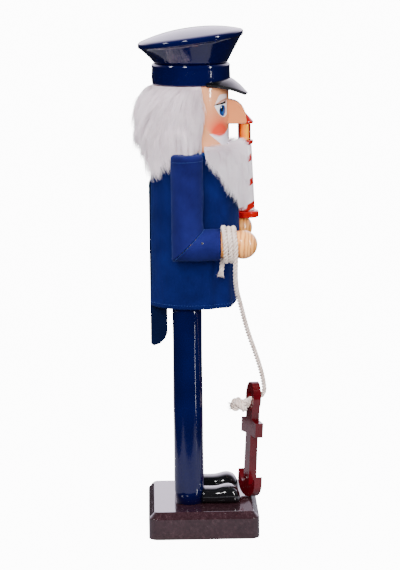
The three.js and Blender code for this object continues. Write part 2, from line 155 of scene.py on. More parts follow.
def rope_mesh(name, route, diameter, pitch, sides=9):
    """Three round strands twisted about a route, with a UV map that runs along each strand."""
    strand = diameter * 0.245
    offset = diameter * 0.5 - strand
    step = (route[1] - route[0]).length
    frames = frames_along(route)
    vertices, faces, uvs = [], [], []
    for n in range(3):
        base = len(vertices)
        for i, (point, side, upward) in enumerate(frames):
            turn = 2 * math.pi * (n / 3 + i * step / pitch)
            centre = point + (side * math.cos(turn) + upward * math.sin(turn)) * offset
            taper = min(1, 0.35 + i / 3, 0.35 + (len(frames) - 1 - i) / 3)
            for k in range(sides):
                angle = 2 * math.pi * k / sides + turn
                ray = side * math.cos(angle) + upward * math.sin(angle)
                vertices.append(centre + ray * strand * taper)
        for i in range(len(frames) - 1):
            for k in range(sides):
                a = base + i * sides + k
                b = base + i * sides + (k + 1) % sides
                faces.append((a, b, b + sides, a + sides))
                u = (i * step / pitch, (i + 1) * step / pitch)
                v = (k / sides, (k + 1) / sides)
                uvs.extend([(u[0], v[0]), (u[0], v[1]), (u[1], v[1]), (u[1], v[0])])
        last = base + (len(frames) - 1) * sides
        faces.append(tuple(base + k for k in reversed(range(sides))))
        faces.append(tuple(last + k for k in range(sides)))
        uvs.extend([(0, 0)] * 2 * sides)
    piece = new_piece(name, vertices, faces)
    layer = piece.data.uv_layers.new(name="lay")
    for loop, uv in zip(layer.data, uvs):
        loop.uv = uv
    return piece


def principled(name, **values):
    """A material with its shader, ready for its own nodes."""
    material = bpy.data.materials.new(name)
    material.use_nodes = True
    shader = material.node_tree.nodes["Principled BSDF"]
    for socket, value in values.items():
        shader.inputs[socket.replace("_", " ")].default_value = value
    return material, material.node_tree, shader


def chain(tree, kind, inputs=None, **settings):
    """Adds a node with its settings, and its inputs as values or links."""
    node = tree.nodes.new(kind)
    for key, value in settings.items():
        setattr(node, key, value)
    for key, value in (inputs or {}).items():
        socket = node.inputs[key]
        if isinstance(value, bpy.types.NodeSocket):
            tree.links.new(value, socket)
        else:
            socket.default_value = value
    return node


def object_place(tree):
    return chain(tree, "ShaderNodeTexCoord").outputs["Object"]


def ramp(tree, factor, stops):
    node = chain(tree, "ShaderNodeValToRGB", {"Fac": factor})
    bar = node.color_ramp
    while len(bar.elements) < len(stops):
        bar.elements.new(0.5)
    for element, (place, colour) in zip(bar.elements, stops):
        element.position = place
        element.color = (*colour, 1)
    return node.outputs["Color"]


def cotton():
    material, tree, shader = principled("cotton_rope", Roughness=0.95, Sheen_Weight=0.4, Sheen_Roughness=0.5)
    place = chain(tree, "ShaderNodeTexCoord")
    stretched = chain(tree, "ShaderNodeMapping", {"Vector": place.outputs["UV"], "Scale": (3, 9, 1)})
    fibres = chain(tree, "ShaderNodeTexNoise", {"Vector": stretched.outputs[0], "Scale": 6, "Detail": 6})
    stains = chain(tree, "ShaderNodeTexNoise", {"Vector": place.outputs["Object"], "Scale": 160, "Detail": 3})
    both = chain(tree, "ShaderNodeMath", {0: fibres.outputs[0], 1: stains.outputs[0]}, operation="ADD")
    half = chain(tree, "ShaderNodeMath", {0: both.outputs[0], 1: 0.5}, operation="MULTIPLY")
    tone = ramp(tree, half.outputs[0], [(0.3, (0.42, 0.30, 0.24)), (0.5, (0.74, 0.60, 0.53)),
                                        (0.7, (0.88, 0.78, 0.72))])
    tree.links.new(tone, shader.inputs["Base Color"])
    bump = chain(tree, "ShaderNodeBump", {"Height": fibres.outputs[0], "Strength": 0.6, "Distance": 0.0003})
    tree.links.new(bump.outputs[0], shader.inputs["Normal"])
    return material


cotton_rope = cotton()
WIND_PITCH = 0.0037
wind_end_y = wrap_low.y + ROPE_DIAMETER / 2
wind = []
steps_per_turn = 24
for i in range(round(WIND_TURNS * steps_per_turn) + 1):
    back_turn = WIND_TURNS - i / steps_per_turn
    turn = -2 * math.pi * back_turn
    swell = 0.0005 * math.sin(1.7 * turn)
    wind.append(WRIST_AXIS + Vector((
        -(WIND_RADIUS + swell) * math.cos(turn),
        wind_end_y + WIND_PITCH * back_turn,
        -(WIND_RADIUS + swell) * math.sin(turn),
    )))
loose_end = [Vector(p) for p in [(-0.0352, -0.0152, 0.1995), (-0.0342, -0.0158, 0.205),
                                 (-0.0338, -0.0162, 0.2115)]]
hang = [Vector(p) * MM for p in [
    (-57.9, -25.2, 211.3), (-57.0, -25.0, 205.5), (-54.9, -25.0, 199), (-51.8, -25.4, 193),
    (-48.2, -26.2, 187.3), (-44.2, -27.6, 181.3), (-39.5, -29.5, 173.7), (-34.2, -31.8, 164.2),
    (-28.8, -34.6, 153.7), (-23.4, -38, 143), (-18.4, -41.2, 133.3), (-13.6, -44, 123.8),
    (-9.6, -46, 115.8), (-6.2, -47.2, 109.2), (-3.7, -47.7, 103.8), (-2.3, -46.5, 99.7),
    (-2.6, -43.6, 97.7), (-4.1, -39.6, 97.2), (-5.8, -35.2, 96.2),
]]
rope_route = spaced(smooth_route([*loose_end, *wind, *hang], 8), 0.0007)
rope = rope_mesh("rope", rope_route, ROPE_DIAMETER, 0.0085)
fit_out(rope, "figure", "cotton_rope", cotton_rope, "rope_wrist_wrap", "anchor_rope")

# Knot behind the eye: the rope's own end tied back on itself.
tied = []
for i in range(97):
    t = 2 * math.pi * i / 96
    tied.append(knot_centre + Vector((
        math.cos(t) - 2 * math.cos(2 * t),
        math.sin(t) + 2 * math.sin(2 * t),
        -1.25 * math.sin(3 * t),
    )) * 0.0021)
knot = rope_mesh("rope_knot_tied", spaced(tied, 0.0005), ROPE_DIAMETER * 1.25, 0.0095)
fit_out(knot, "figure", "cotton_rope", cotton_rope, "rope_knot")


def frayed(name, root, direction, length, count, seed):
    """A brush of loose cotton threads where the rope was cut."""
    dice = random.Random(seed)
    vertices, faces = [], []
    across = direction.orthogonal().normalized()
    other = direction.cross(across)
    for _ in range(count):
        spin = dice.uniform(0, 2 * math.pi)
        out = (across * math.cos(spin) + other * math.sin(spin))
        start = root + out * ROPE_DIAMETER * 0.42 * math.sqrt(dice.random())
        reach = length * dice.uniform(0.55, 1)
        bend = out * reach * dice.uniform(0.05, 0.55)
        base = len(vertices)
        for k in range(4):
            t = k / 3
            centre = start + direction * reach * t + bend * t * t
            size = 0.00022 * (1 - 0.75 * t)
            for j in range(3):
                turn = 2 * math.pi * j / 3
                vertices.append(centre + (across * math.cos(turn) + other * math.sin(turn)) * size)
        for k in range(3):
            for j in range(3):
                a = base + 3 * k + j
                b = base + 3 * k + (j + 1) % 3
                faces.append((a, b, b + 3, a + 3))
        faces.append((base + 2, base + 1, base))
        faces.append((base + 9, base + 10, base + 11))
    piece = new_piece(name, vertices, faces)
    piece.data.uv_layers.new(name="lay")
    return piece


wrist_fray = frayed("rope_end_fray", rope_route[1], Vector((-0.1, 0.25, -0.96)).normalized(), 0.0048, 90, 3)
knot_fray = frayed("knot_fray", knot_centre + Vector((-0.001, 0.004, 0)),
                   Vector((-0.15, 0.97, -0.1)).normalized(),
                   0.006, 90, 5)
for fray in (wrist_fray, knot_fray):
    fit_out(fray, "figure", "cotton_rope", cotton_rope)


# Plinth. A thick board of soft wood with a planed chamfer, sprayed with dark plum gloss lacquer
# that gathers in small beads along the chamfer.
def lacquer_skin():
    """Uneven gloss of a dipped or sprayed wooden part: colour, roughness and ripple of the film."""
    group = bpy.data.node_groups.new("lacquer_skin", "ShaderNodeTree")
    for name, kind, value in [
        ("Colour", "NodeSocketColor", (0.1, 0.1, 0.1, 1)), ("Scale", "NodeSocketFloat", 90),
        ("Shade", "NodeSocketFloat", 0.12), ("Gloss", "NodeSocketFloat", 0.14),
    ]:
        socket = group.interface.new_socket(name, in_out="INPUT", socket_type=kind)
        socket.default_value = value
    for name, kind in [("Colour", "NodeSocketColor"), ("Roughness", "NodeSocketFloat"),
                       ("Height", "NodeSocketFloat")]:
        group.interface.new_socket(name, in_out="OUTPUT", socket_type=kind)
    given = chain(group, "NodeGroupInput")
    place = object_place(group)
    broad = chain(group, "ShaderNodeTexNoise", {"Vector": place, "Scale": given.outputs["Scale"],
                                                "Detail": 2})
    fine = chain(group, "ShaderNodeTexNoise", {"Vector": place, "Scale": 900, "Detail": 4})
    swing = chain(group, "ShaderNodeMapRange", {
        "Value": broad.outputs[0], "From Min": 0.3, "From Max": 0.7,
        "To Min": chain(group, "ShaderNodeMath", {0: 1, 1: given.outputs["Shade"]},
                        operation="SUBTRACT").outputs[0],
        "To Max": chain(group, "ShaderNodeMath", {0: 1, 1: given.outputs["Shade"]},
                        operation="ADD").outputs[0],
    })
    tinted = chain(group, "ShaderNodeVectorMath", {0: given.outputs["Colour"], "Scale": swing.outputs[0]},
                   operation="SCALE")
    rough = chain(group, "ShaderNodeMath", {0: fine.outputs[0], 1: 0.12, 2: given.outputs["Gloss"]},
                  operation="MULTIPLY_ADD")
    faint = chain(group, "ShaderNodeMath", {0: fine.outputs[0], 1: 0.12}, operation="MULTIPLY")
    height = chain(group, "ShaderNodeMath", {0: broad.outputs[0], 1: faint.outputs[0]}, operation="ADD")
    chain(group, "NodeGroupOutput", {"Colour": tinted.outputs[0], "Roughness": rough.outputs[0],
                                     "Height": height.outputs[0]})
    return group


skin_of_lacquer = lacquer_skin()


def lacquer(name, colour, scale=90, shade=0.12, gloss=0.06, ripple=0.00025, coat=0.6, shine=0.5):
    material, tree, shader = principled(
        name, Coat_Weight=coat, Coat_Roughness=0.04, Specular_IOR_Level=shine)
    skin = chain(tree, "ShaderNodeGroup", node_tree=skin_of_lacquer)
    chosen = colour if isinstance(colour, tuple) else None
    if chosen:
        skin.inputs["Colour"].default_value = (*chosen, 1)
    else:
        tree.links.new(colour(tree), skin.inputs["Colour"])
    skin.inputs["Scale"].default_value = scale
    skin.inputs["Shade"].default_value = shade
    skin.inputs["Gloss"].default_value = gloss
    tree.links.new(skin.outputs["Colour"], shader.inputs["Base Color"])
    tree.links.new(skin.outputs["Roughness"], shader.inputs["Roughness"])
    bump = chain(tree, "ShaderNodeBump", {"Height": skin.outputs["Height"], "Strength": 0.35,
                                          "Distance": ripple})
    tree.links.new(bump.outputs[0], shader.inputs["Normal"])
    return material


def softened(name, node, width, segments=3, limit=25):
    """The named solid again as one clean mesh, with its sharp edges sanded round."""
    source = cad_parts[node]
    vertices = [v.co.copy() for v in source.data.vertices]
    piece = new_piece(name, vertices, [tuple(p.vertices) for p in source.data.polygons])

    shell = bmesh.new()
    shell.from_mesh(piece.data)
    bmesh.ops.remove_doubles(shell, verts=shell.verts, dist=2e-5)
    bmesh.ops.dissolve_limit(shell, angle_limit=math.radians(1.5), verts=shell.verts, edges=shell.edges)
    shell.to_mesh(piece.data)
    shell.free()
    edge = piece.modifiers.new("sanded edges", "BEVEL")
    edge.width = width
    edge.segments = segments
    edge.limit_method = "ANGLE"
    edge.angle_limit = math.radians(limit)
    edge.use_clamp_overlap = True
    piece.modifiers.new("even shading", "WEIGHTED_NORMAL").keep_sharp = True
    return piece


def speckled_plum(tree):
    place = object_place(tree)
    specks = chain(tree, "ShaderNodeTexNoise", {"Vector": place, "Scale": 420, "Detail": 3})
    return ramp(tree, specks.outputs[0], [(0.35, (0.016, 0.006, 0.008)), (0.6, (0.024, 0.010, 0.013)),
                                          (0.8, (0.045, 0.022, 0.026))])


plinth_lacquer = lacquer("plinth_lacquer", speckled_plum, scale=60, gloss=0.05, ripple=0.0003, coat=0.35)
plinth = softened("plinth", "base_plinth", 0.0008)
fit_out(plinth, "figure", "plinth_lacquer", plinth_lacquer, "base_plinth")

# Beads of lacquer that set along the chamfer's upper edges.
plinth_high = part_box("base_plinth")[1]
CHAMFER = 0.0045


def growth_tree(name, sizes, seed=None):
    """A node tree that takes a base mesh, named sizes, a seed and a material."""
    tree = bpy.data.node_groups.new(name, "GeometryNodeTree")
    face = tree.interface
    face.new_socket("Geometry", in_out="INPUT", socket_type="NodeSocketGeometry")
    for size, value in sizes.items():
        face.new_socket(size, in_out="INPUT", socket_type="NodeSocketFloat").default_value = value
    if seed is not None:
        face.new_socket("Seed", in_out="INPUT", socket_type="NodeSocketInt").default_value = seed
    face.new_socket("Material", in_out="INPUT", socket_type="NodeSocketMaterial")
    face.new_socket("Geometry", in_out="OUTPUT", socket_type="NodeSocketGeometry")
    return tree, chain(tree, "NodeGroupInput").outputs


def end_growth(tree, instances, material):
    """Makes the copies real and gives them their material."""
    real = chain(tree, "GeometryNodeRealizeInstances", {"Geometry": instances})
    painted = chain(tree, "GeometryNodeSetMaterial", {"Geometry": real.outputs[0], "Material": material})
    chain(tree, "NodeGroupOutput", {"Geometry": painted.outputs[0]})
    return tree


def bead_tree():
    """Beads of set lacquer scattered on a strip."""
    tree, given = growth_tree("lacquer_beads", {"Density": 90000.0, "Bead radius": 0.00022}, seed=4)
    points = chain(tree, "GeometryNodeDistributePointsOnFaces", {
        "Mesh": given["Geometry"], "Density": given["Density"], "Seed": given["Seed"]})
    bead = chain(tree, "GeometryNodeMeshIcoSphere", {"Radius": given["Bead radius"], "Subdivisions": 2})
    size = chain(tree, "FunctionNodeRandomValue", {"Min": (0.5, 0.5, 0.5), "Max": (1.8, 1.5, 0.9), "Seed": 9},
                 data_type="FLOAT_VECTOR")
    placed = chain(tree, "GeometryNodeInstanceOnPoints", {
        "Points": points.outputs["Points"], "Instance": bead.outputs["Mesh"], "Scale": size.outputs[0]})
    return end_growth(tree, placed.outputs[0], given["Material"])


def grown(name, base, tree, body, slot_name, material, **inputs):
    """Runs a node tree on a base mesh and keeps the result as a plain piece."""
    modifier = base.modifiers.new("growth", "NODES")
    modifier.node_group = tree
    for item in tree.interface.items_tree:
        if item.in_out == "INPUT" and item.name in inputs:
            modifier[item.identifier] = inputs[item.name]
        if item.in_out == "INPUT" and item.name == "Material":
            modifier[item.identifier] = material
    bpy.context.view_layer.update()
    evaluated = base.evaluated_get(bpy.context.evaluated_depsgraph_get())
    mesh = bpy.data.meshes.new_from_object(evaluated)
    base.modifiers.remove(modifier)
    mesh.name = name
    mesh.polygons.foreach_set("use_smooth", [True] * len(mesh.polygons))
    piece = bpy.data.objects.new(name, mesh)
    bpy.context.scene.collection.objects.link(piece)
    fit_out(piece, body, slot_name, material)
    return piece


def discard(piece):
    mesh = piece.data
    bpy.data.objects.remove(piece)
    bpy.data.meshes.remove(mesh)


rim_x = plinth_high.x - CHAMFER * 0.75
rim_y = plinth_high.y - CHAMFER * 0.75
rim_z = plinth_high.z - CHAMFER * 0.3
strip = 0.0009
bead_strip = new_piece("bead_strip", [
    Vector((sx * (rim_x + inset * strip), sy * (rim_y + inset * strip), rim_z - inset * strip))
    for inset in (-1, 1) for sx, sy in ((-1, -1), (1, -1), (1, 1), (-1, 1))
], [(k, (k + 1) % 4, 4 + (k + 1) % 4, 4 + k) for k in range(4)])
grown("plinth_beads", bead_strip, bead_tree(), "figure", "plinth_lacquer", plinth_lacquer, Density=900000.0)
discard(bead_strip)


# Leg screws. Plain countersunk steel screws, driven up through the plinth into the legs.
def bright_steel():
    material, tree, shader = principled("screw_steel", Metallic=1.0)
    place = object_place(tree)
    scratches = chain(tree, "ShaderNodeTexNoise", {"Vector": place, "Scale": 1500, "Detail": 4})
    tone = ramp(tree, scratches.outputs[0], [(0.3, (0.35, 0.35, 0.36)), (0.7, (0.62, 0.62, 0.62))])
    tree.links.new(tone, shader.inputs["Base Color"])
    rough = chain(tree, "ShaderNodeMapRange", {"Value": scratches.outputs[0], "To Min": 0.25, "To Max": 0.5})
    tree.links.new(rough.outputs[0], shader.inputs["Roughness"])
    return material


def dress(node, material):
    """Gives a solid that is already right its own finish."""
    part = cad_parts[node]
    part.data.materials.clear()
    part.data.materials.append(material)


screw_steel = bright_steel()
for node in ("right_leg_screw", "left_leg_screw", "jaw_pin"):
    dress(node, screw_steel)


# Legs. Turned softwood posts dipped in navy gloss; the lathe left them very slightly uneven.
def turned(name, profile, centre, axis="Z", segments=96, waver=0.0):
    """A lathe-turned piece: profile is a list of (radius, height), from the axis back to the axis."""
    vertices, faces = [], []
    rings = []
    for radius, height in profile:
        ring = []
        for k in range(1 if radius == 0 else segments):
            angle = 2 * math.pi * k / segments
            wave = 1 + waver * math.sin(3 * angle + 40 * height)
            local = Vector((radius * wave * math.cos(angle), radius * wave * math.sin(angle), height))
            if axis == "Y":
                local = Vector((local.x, -local.z, local.y))
            ring.append(len(vertices))
            vertices.append(Vector(centre) + local)
        rings.append(ring)
    for lower, upper in zip(rings, rings[1:]):
        for k in range(segments):
            a, b = lower[k % len(lower)], lower[(k + 1) % len(lower)]
            c, d = upper[(k + 1) % len(upper)], upper[k % len(upper)]
            faces.append(tuple(dict.fromkeys((a, b, c, d))))
    return new_piece(name, vertices, [f for f in faces if len(f) > 2])


def rounded(corners, radius, steps=4):
    """A profile with its inner corners rounded off."""
    out = [corners[0]]
    for before, here, after in zip(corners, corners[1:], corners[2:]):
        a, b, c = Vector(before), Vector(here), Vector(after)
        reach = min(radius, (a - b).length * 0.45, (c - b).length * 0.45)
        start = b + (a - b).normalized() * reach
        end = b + (c - b).normalized() * reach
        for k in range(steps + 1):
            t = k / steps
            out.append(tuple(start * (1 - t) ** 2 + b * 2 * t * (1 - t) + end * t**2))
    return [*out, corners[-1]]


navy_lacquer = lacquer("navy_lacquer", (0.0006, 0.0016, 0.030), scale=35, shade=0.2, gloss=0.05,
                       ripple=0.0005, coat=0.3)
for side in ("right", "left"):
    low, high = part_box(f"{side}_leg")
    centre = (low + high) / 2
    radius = (high.x - low.x) / 2
    levels = [(radius + 0.00012 * math.cos(70 * (low.z + (high.z - low.z) * k / 16)) - 0.0005 * min(1, k / 5),
               low.z + (high.z - low.z) * k / 16) for k in range(17)]
    profile = [(0, low.z), (radius - 0.0008, low.z), *levels[1:-1], (levels[-1][0] - 0.0008, high.z),
               (0, high.z)]
    leg = turned(f"{side}_leg_post", profile, (centre.x, centre.y, 0), waver=0.006)
    fit_out(leg, "figure", "navy_lacquer", navy_lacquer, f"{side}_leg")


# Shoes. Carved black clogs with a low instep and a full toe, glued to the fronts of the legs.
black_lacquer = lacquer("black_lacquer", (0.0035, 0.0035, 0.004), scale=70, shade=0.3, gloss=0.04,
                        ripple=0.0006)


def shoe(name, node):
    """Rings of a superellipse laid from the leg to the toe: width, crown and sole change along it."""
    low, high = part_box(node)
    middle = (low.x + high.x) / 2
    width = high.x - low.x
    tall = high.z - low.z
    stations = [
        (0.0, 0.90, 0.84), (0.1, 0.90, 0.86), (0.28, 0.88, 0.84), (0.45, 0.92, 0.86), (0.6, 1.0, 0.97),
        (0.72, 1.0, 1.0), (0.84, 0.93, 0.92), (0.93, 0.74, 0.72), (0.98, 0.46, 0.48), (1.0, 0.12, 0.25),
    ]
    around = 28
    vertices, faces = [], []
    for along, wide, crown in stations:
        y = high.y - along * (high.y - low.y)
        for k in range(around):
            turn = 2 * math.pi * k / around
            across = math.copysign(abs(math.cos(turn)) ** 0.75, math.cos(turn)) * width / 2 * wide
            rise = math.sin(turn)
            lift = (tall * crown * (0.42 + 0.58 * rise) if rise > 0
                    else tall * 0.42 * crown * (1 - abs(rise) ** 0.5))
            vertices.append(Vector((middle + across, y, low.z + max(0, lift))))
    for i in range(len(stations) - 1):
        for k in range(around):
            a, b = i * around + k, i * around + (k + 1) % around
            faces.append((b, a, a + around, b + around))
    faces.append(tuple(range(around)))
    faces.append(tuple((len(stations) - 1) * around + k for k in reversed(range(around))))
    piece = new_piece(name, vertices, faces)
    finer = piece.modifiers.new("carved", "SUBSURF")
    finer.levels = finer.render_levels = 2
    return piece


for side in ("right", "left"):
    fit_out(shoe(f"{side}_clog", f"{side}_shoe"), "figure", "black_lacquer", black_lacquer, f"{side}_shoe")


# Torso, lever and jaw. The torso is a turned block sawn for the jaw bar; the bar is one sawn piece,
# navy where it shows as the lever and flesh pink inside the mouth.
def matt_finish(name, roughness, scale, detail, dark, light):
    """A finish without gloss, whose colour wanders between two tones."""
    material, tree, shader = principled(name, Roughness=roughness)
    blotches = chain(tree, "ShaderNodeTexNoise", {"Vector": object_place(tree), "Scale": scale,
                                                  "Detail": detail})
    tree.links.new(ramp(tree, blotches.outputs[0], [(0.3, dark), (0.7, light)]), shader.inputs["Base Color"])
    return material


def lever_colour(tree):
    """Pink ahead of the pin, near-black navy behind it."""
    place = object_place(tree)
    parts = chain(tree, "ShaderNodeSeparateXYZ", {"Vector": place})
    ahead = chain(tree, "ShaderNodeMath", {0: parts.outputs["Y"], 1: -0.012}, operation="LESS_THAN")
    mixed = chain(tree, "ShaderNodeMix", {"Factor": ahead.outputs[0]}, data_type="RGBA")
    mixed.inputs["A"].default_value = (0.002, 0.004, 0.022, 1)
    mixed.inputs["B"].default_value = (0.55, 0.2, 0.14, 1)
    return mixed.outputs["Result"]


dress("torso", matt_finish("torso_paint", 0.6, 120, 3, (0.006, 0.018, 0.09), (0.012, 0.035, 0.16)))
jaw_bar = softened("jaw_bar", "jaw_lever", 0.0009)
lever_lacquer = lacquer("lever_lacquer", lever_colour, scale=50, gloss=0.06)
fit_out(jaw_bar, "jaw_lever", "lever_lacquer", lever_lacquer, "jaw_lever")


# Jacket. Thin royal blue cloth glued round the torso, split up the back for the lever, with a
# turned hem stitched in pale thread and a soft fold near the front.
jacket_low, jacket_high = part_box("jacket")
body_axis = Vector(((jacket_low.x + jacket_high.x) / 2, (jacket_low.y + jacket_high.y) / 2, 0))
jacket_radius = (jacket_high.x - jacket_low.x) / 2
CLOTH = 0.0009
HEM = jacket_low.z
slit_angle = math.asin(0.0103 / jacket_radius)
THROAT = 0.262


def woven():
    """Fine plain weave from two crossed waves, with the cloth's slow unevenness of dye."""
    group = bpy.data.node_groups.new("woven_cloth", "ShaderNodeTree")
    for name, kind, value in [
        ("Thread", "NodeSocketColor", (0.1, 0.1, 0.1, 1)), ("Worn", "NodeSocketColor", (0.2, 0.2, 0.2, 1)),
        ("Pitch", "NodeSocketFloat", 1500.0),
    ]:
        group.interface.new_socket(name, in_out="INPUT", socket_type=kind).default_value = value
    for name, kind in [("Colour", "NodeSocketColor"), ("Height", "NodeSocketFloat")]:
        group.interface.new_socket(name, in_out="OUTPUT", socket_type=kind)
    given = chain(group, "NodeGroupInput").outputs
    coordinates = chain(group, "ShaderNodeTexCoord").outputs
    laid = chain(group, "ShaderNodeSeparateXYZ", {"Vector": coordinates["UV"]})
    warp = chain(group, "ShaderNodeMath", {0: laid.outputs["X"], 1: given["Pitch"]}, operation="MULTIPLY")
    weft = chain(group, "ShaderNodeMath", {0: laid.outputs["Y"], 1: given["Pitch"]}, operation="MULTIPLY")
    over = chain(group, "ShaderNodeMath", {0: warp.outputs[0]}, operation="SINE")
    under = chain(group, "ShaderNodeMath", {0: weft.outputs[0]}, operation="SINE")
    crossed = chain(group, "ShaderNodeMath", {0: over.outputs[0], 1: under.outputs[0]}, operation="MULTIPLY")
    slow = chain(group, "ShaderNodeTexNoise", {"Vector": coordinates["Object"], "Scale": 45, "Detail": 5})
    fuzz = chain(group, "ShaderNodeTexNoise", {"Vector": coordinates["Object"], "Scale": 1400, "Detail": 3})
    dye = chain(group, "ShaderNodeMapRange", {"Value": slow.outputs[0], "From Min": 0.3, "From Max": 0.75})
    lint = chain(group, "ShaderNodeMath", {0: fuzz.outputs[0], 1: 0.35, 2: dye.outputs[0]},
                 operation="MULTIPLY_ADD")
    bias = chain(group, "ShaderNodeMath", {0: lint.outputs[0], 1: 0.2}, operation="SUBTRACT", use_clamp=True)
    mixed = chain(group, "ShaderNodeMix", {"Factor": bias.outputs[0]}, data_type="RGBA")
    group.links.new(given["Thread"], mixed.inputs["A"])
    group.links.new(given["Worn"], mixed.inputs["B"])
    grain = chain(group, "ShaderNodeMath", {0: fuzz.outputs[0], 1: 0.8, 2: crossed.outputs[0]},
                  operation="MULTIPLY_ADD")
    chain(group, "NodeGroupOutput", {"Colour": mixed.outputs["Result"], "Height": grain.outputs[0]})
    return group


weave = woven()


def cloth(name, thread, worn, pitch):
    material, tree, shader = principled(
        name, Roughness=0.88, Sheen_Weight=0.06, Sheen_Roughness=0.4, Sheen_Tint=(0.2, 0.35, 1, 1),
        Specular_IOR_Level=0.12)
    laid = chain(tree, "ShaderNodeGroup", node_tree=weave)
    laid.inputs["Thread"].default_value = (*thread, 1)
    laid.inputs["Worn"].default_value = (*worn, 1)
    laid.inputs["Pitch"].default_value = pitch
    tree.links.new(laid.outputs["Colour"], shader.inputs["Base Color"])
    bump = chain(tree, "ShaderNodeBump", {"Height": laid.outputs["Height"], "Strength": 0.35,
                                          "Distance": 0.00012})
    tree.links.new(bump.outputs[0], shader.inputs["Normal"])
    return material


def cloth_sheet(name, columns, rows, place, keeps=lambda u, v: True, size=(0.1, 0.1), wrap=False):
    """A sheet laid over a surface: place(u, v) gives each point, and UV runs along the cloth in metres."""
    across = columns if wrap else columns + 1
    vertices = [place(i / columns, j / rows) for j in range(rows + 1) for i in range(across)]
    faces, uvs = [], []
    for j in range(rows):
        for i in range(columns):
            if not keeps((i + 0.5) / columns, (j + 0.5) / rows):
                continue
            a, b = j * across + i, j * across + (i + 1) % across
            faces.append((a, b, b + across, a + across))
            uvs.extend([(size[0] * (i + p) / columns, size[1] * (j + q) / rows) for p,
                        q in ((0, 0), (1, 0), (1, 1), (0, 1))])
    piece = new_piece(name, vertices, faces)
    layer = piece.data.uv_layers.new(name="cloth")
    for loop, uv in zip(layer.data, uvs):
        loop.uv = uv
    trimmed = bmesh.new()
    trimmed.from_mesh(piece.data)
    bmesh.ops.delete(trimmed, geom=[v for v in trimmed.verts if not v.link_faces], context="VERTS")
    bmesh.ops.recalc_face_normals(trimmed, faces=trimmed.faces)
    trimmed.to_mesh(piece.data)
    trimmed.free()
    thickness = piece.modifiers.new("cloth thickness", "SOLIDIFY")
    thickness.thickness = CLOTH
    thickness.offset = 0
    return piece


def bump_at(value, centre, width):
    return math.exp(-((value - centre) / width) ** 2)


def jacket_point(u, v):
    """u runs from the slit round the figure's right side and front to the slit again; v runs up."""
    turn = slit_angle + u * (2 * math.pi - 2 * slit_angle)
    front = -math.cos(turn)
    near_side = math.sin(turn)
    ahead = max(0, front)
    floor = HEM + 0.0032 + 0.0058 * ahead**10
    z = floor + v * (jacket_high.z - 0.0005 - floor)
    low = 1 - v
    belly = 0.0022 * ahead**2 * bump_at(z, 0.231, 0.03) - 0.0014 * ahead**2 * bump_at(z, 0.262, 0.012)
    skirt = 0.0006 * low**2 * (1 + math.sin(5 * turn + 1))
    crease = 0.0030 * low**1.4 * (bump_at(turn, 2.36, 0.15) + 0.55 * bump_at(turn, 1.93, 0.13))
    far_crease = 0.0024 * low**1.4 * (bump_at(turn, 4.05, 0.13) + 0.6 * bump_at(turn, 4.45, 0.16))
    pucker = 0.00045 * noise.noise(Vector((turn * 2.2, z * 45,
                                           3.1))) + 0.0002 * noise.noise(Vector((turn * 9, z * 130, 7)))
    curl = 0.0005 * bump_at(v, 0.02, 0.02)
    radius = jacket_radius - 0.0006 + belly + skirt + crease + far_crease + pucker + curl
    return body_axis + Vector((-near_side * radius, -front * radius, z))


def outside_throat(u, v):
    point = jacket_point(u, v)
    return not (point.z > THROAT and abs(point.x) < 0.0135 and point.y < 0)


jacket_cloth = cloth("jacket_cloth", (0.0014, 0.0034, 0.042), (0.0032, 0.0084, 0.084), 9000)
jacket_size = (jacket_radius * (2 * math.pi - 2 * slit_angle), jacket_high.z - HEM - 0.004)
jacket = cloth_sheet("jacket_cloth_shell", 220, 90, jacket_point, outside_throat, jacket_size)
fit_out(jacket, "figure", "jacket_cloth", jacket_cloth, "jacket")


# Hem stitches. Short pale running stitches that hold the turned hem of the jacket.
def stitch_tree():
    """Lays short thread stitches along a line of points."""
    tree, given = growth_tree("running_stitches", {
        "Spacing": 0.002, "Stitch length": 0.0013, "Thread radius": 0.00014})
    line = chain(tree, "GeometryNodeMeshToCurve", {"Mesh": given["Geometry"]})
    points = chain(tree, "GeometryNodeCurveToPoints", {"Curve": line.outputs[0], "Length": given["Spacing"]},
                   mode="LENGTH")
    tilt = chain(tree, "FunctionNodeAlignRotationToVector", {"Vector": points.outputs["Tangent"]}, axis="Z")
    thread = chain(tree, "GeometryNodeMeshCylinder", {
        "Vertices": 6, "Radius": given["Thread radius"], "Depth": given["Stitch length"]})
    placed = chain(tree, "GeometryNodeInstanceOnPoints", {
        "Points": points.outputs["Points"], "Instance": thread.outputs["Mesh"], "Rotation": tilt.outputs[0]})
    return end_growth(tree, placed.outputs[0], given["Material"])


thread = matt_finish("pale_thread", 0.8, 2500, 2, (0.012, 0.028, 0.12), (0.03, 0.06, 0.2))
stitches = stitch_tree()


def stitched(name, points, slot_name, **sizes):
    """Stitches along a line of points on the cloth."""
    mesh = bpy.data.meshes.new("seam_line")
    mesh.from_pydata([tuple(p) for p in points], [(i, i + 1) for i in range(len(points) - 1)], [])
    line = bpy.data.objects.new("seam_line", mesh)
    bpy.context.scene.collection.objects.link(line)
    grown(name, line, stitches, "figure", slot_name, thread, **sizes)
    discard(line)


def lifted(point, amount):
    out = Vector((point.x - body_axis.x, point.y - body_axis.y, 0)).normalized()
    return point + out * amount


hem_line = [lifted(jacket_point(k / 160, 0.026), CLOTH * 0.55) for k in range(1, 160)]
stitched("hem_stitches", hem_line, "jacket_cloth", **{"Spacing": 0.0021, "Stitch length": 0.0013})


# Arms. Dowels mitred at the elbow, each half in its own glued sleeve of the jacket's cloth; the
# raw edges meet at the mitre, and a tack holds the point of the cloth.
sleeve_cloth = cloth("sleeve_cloth", (0.0044, 0.0050, 0.050), (0.0090, 0.0115, 0.098), 9000)


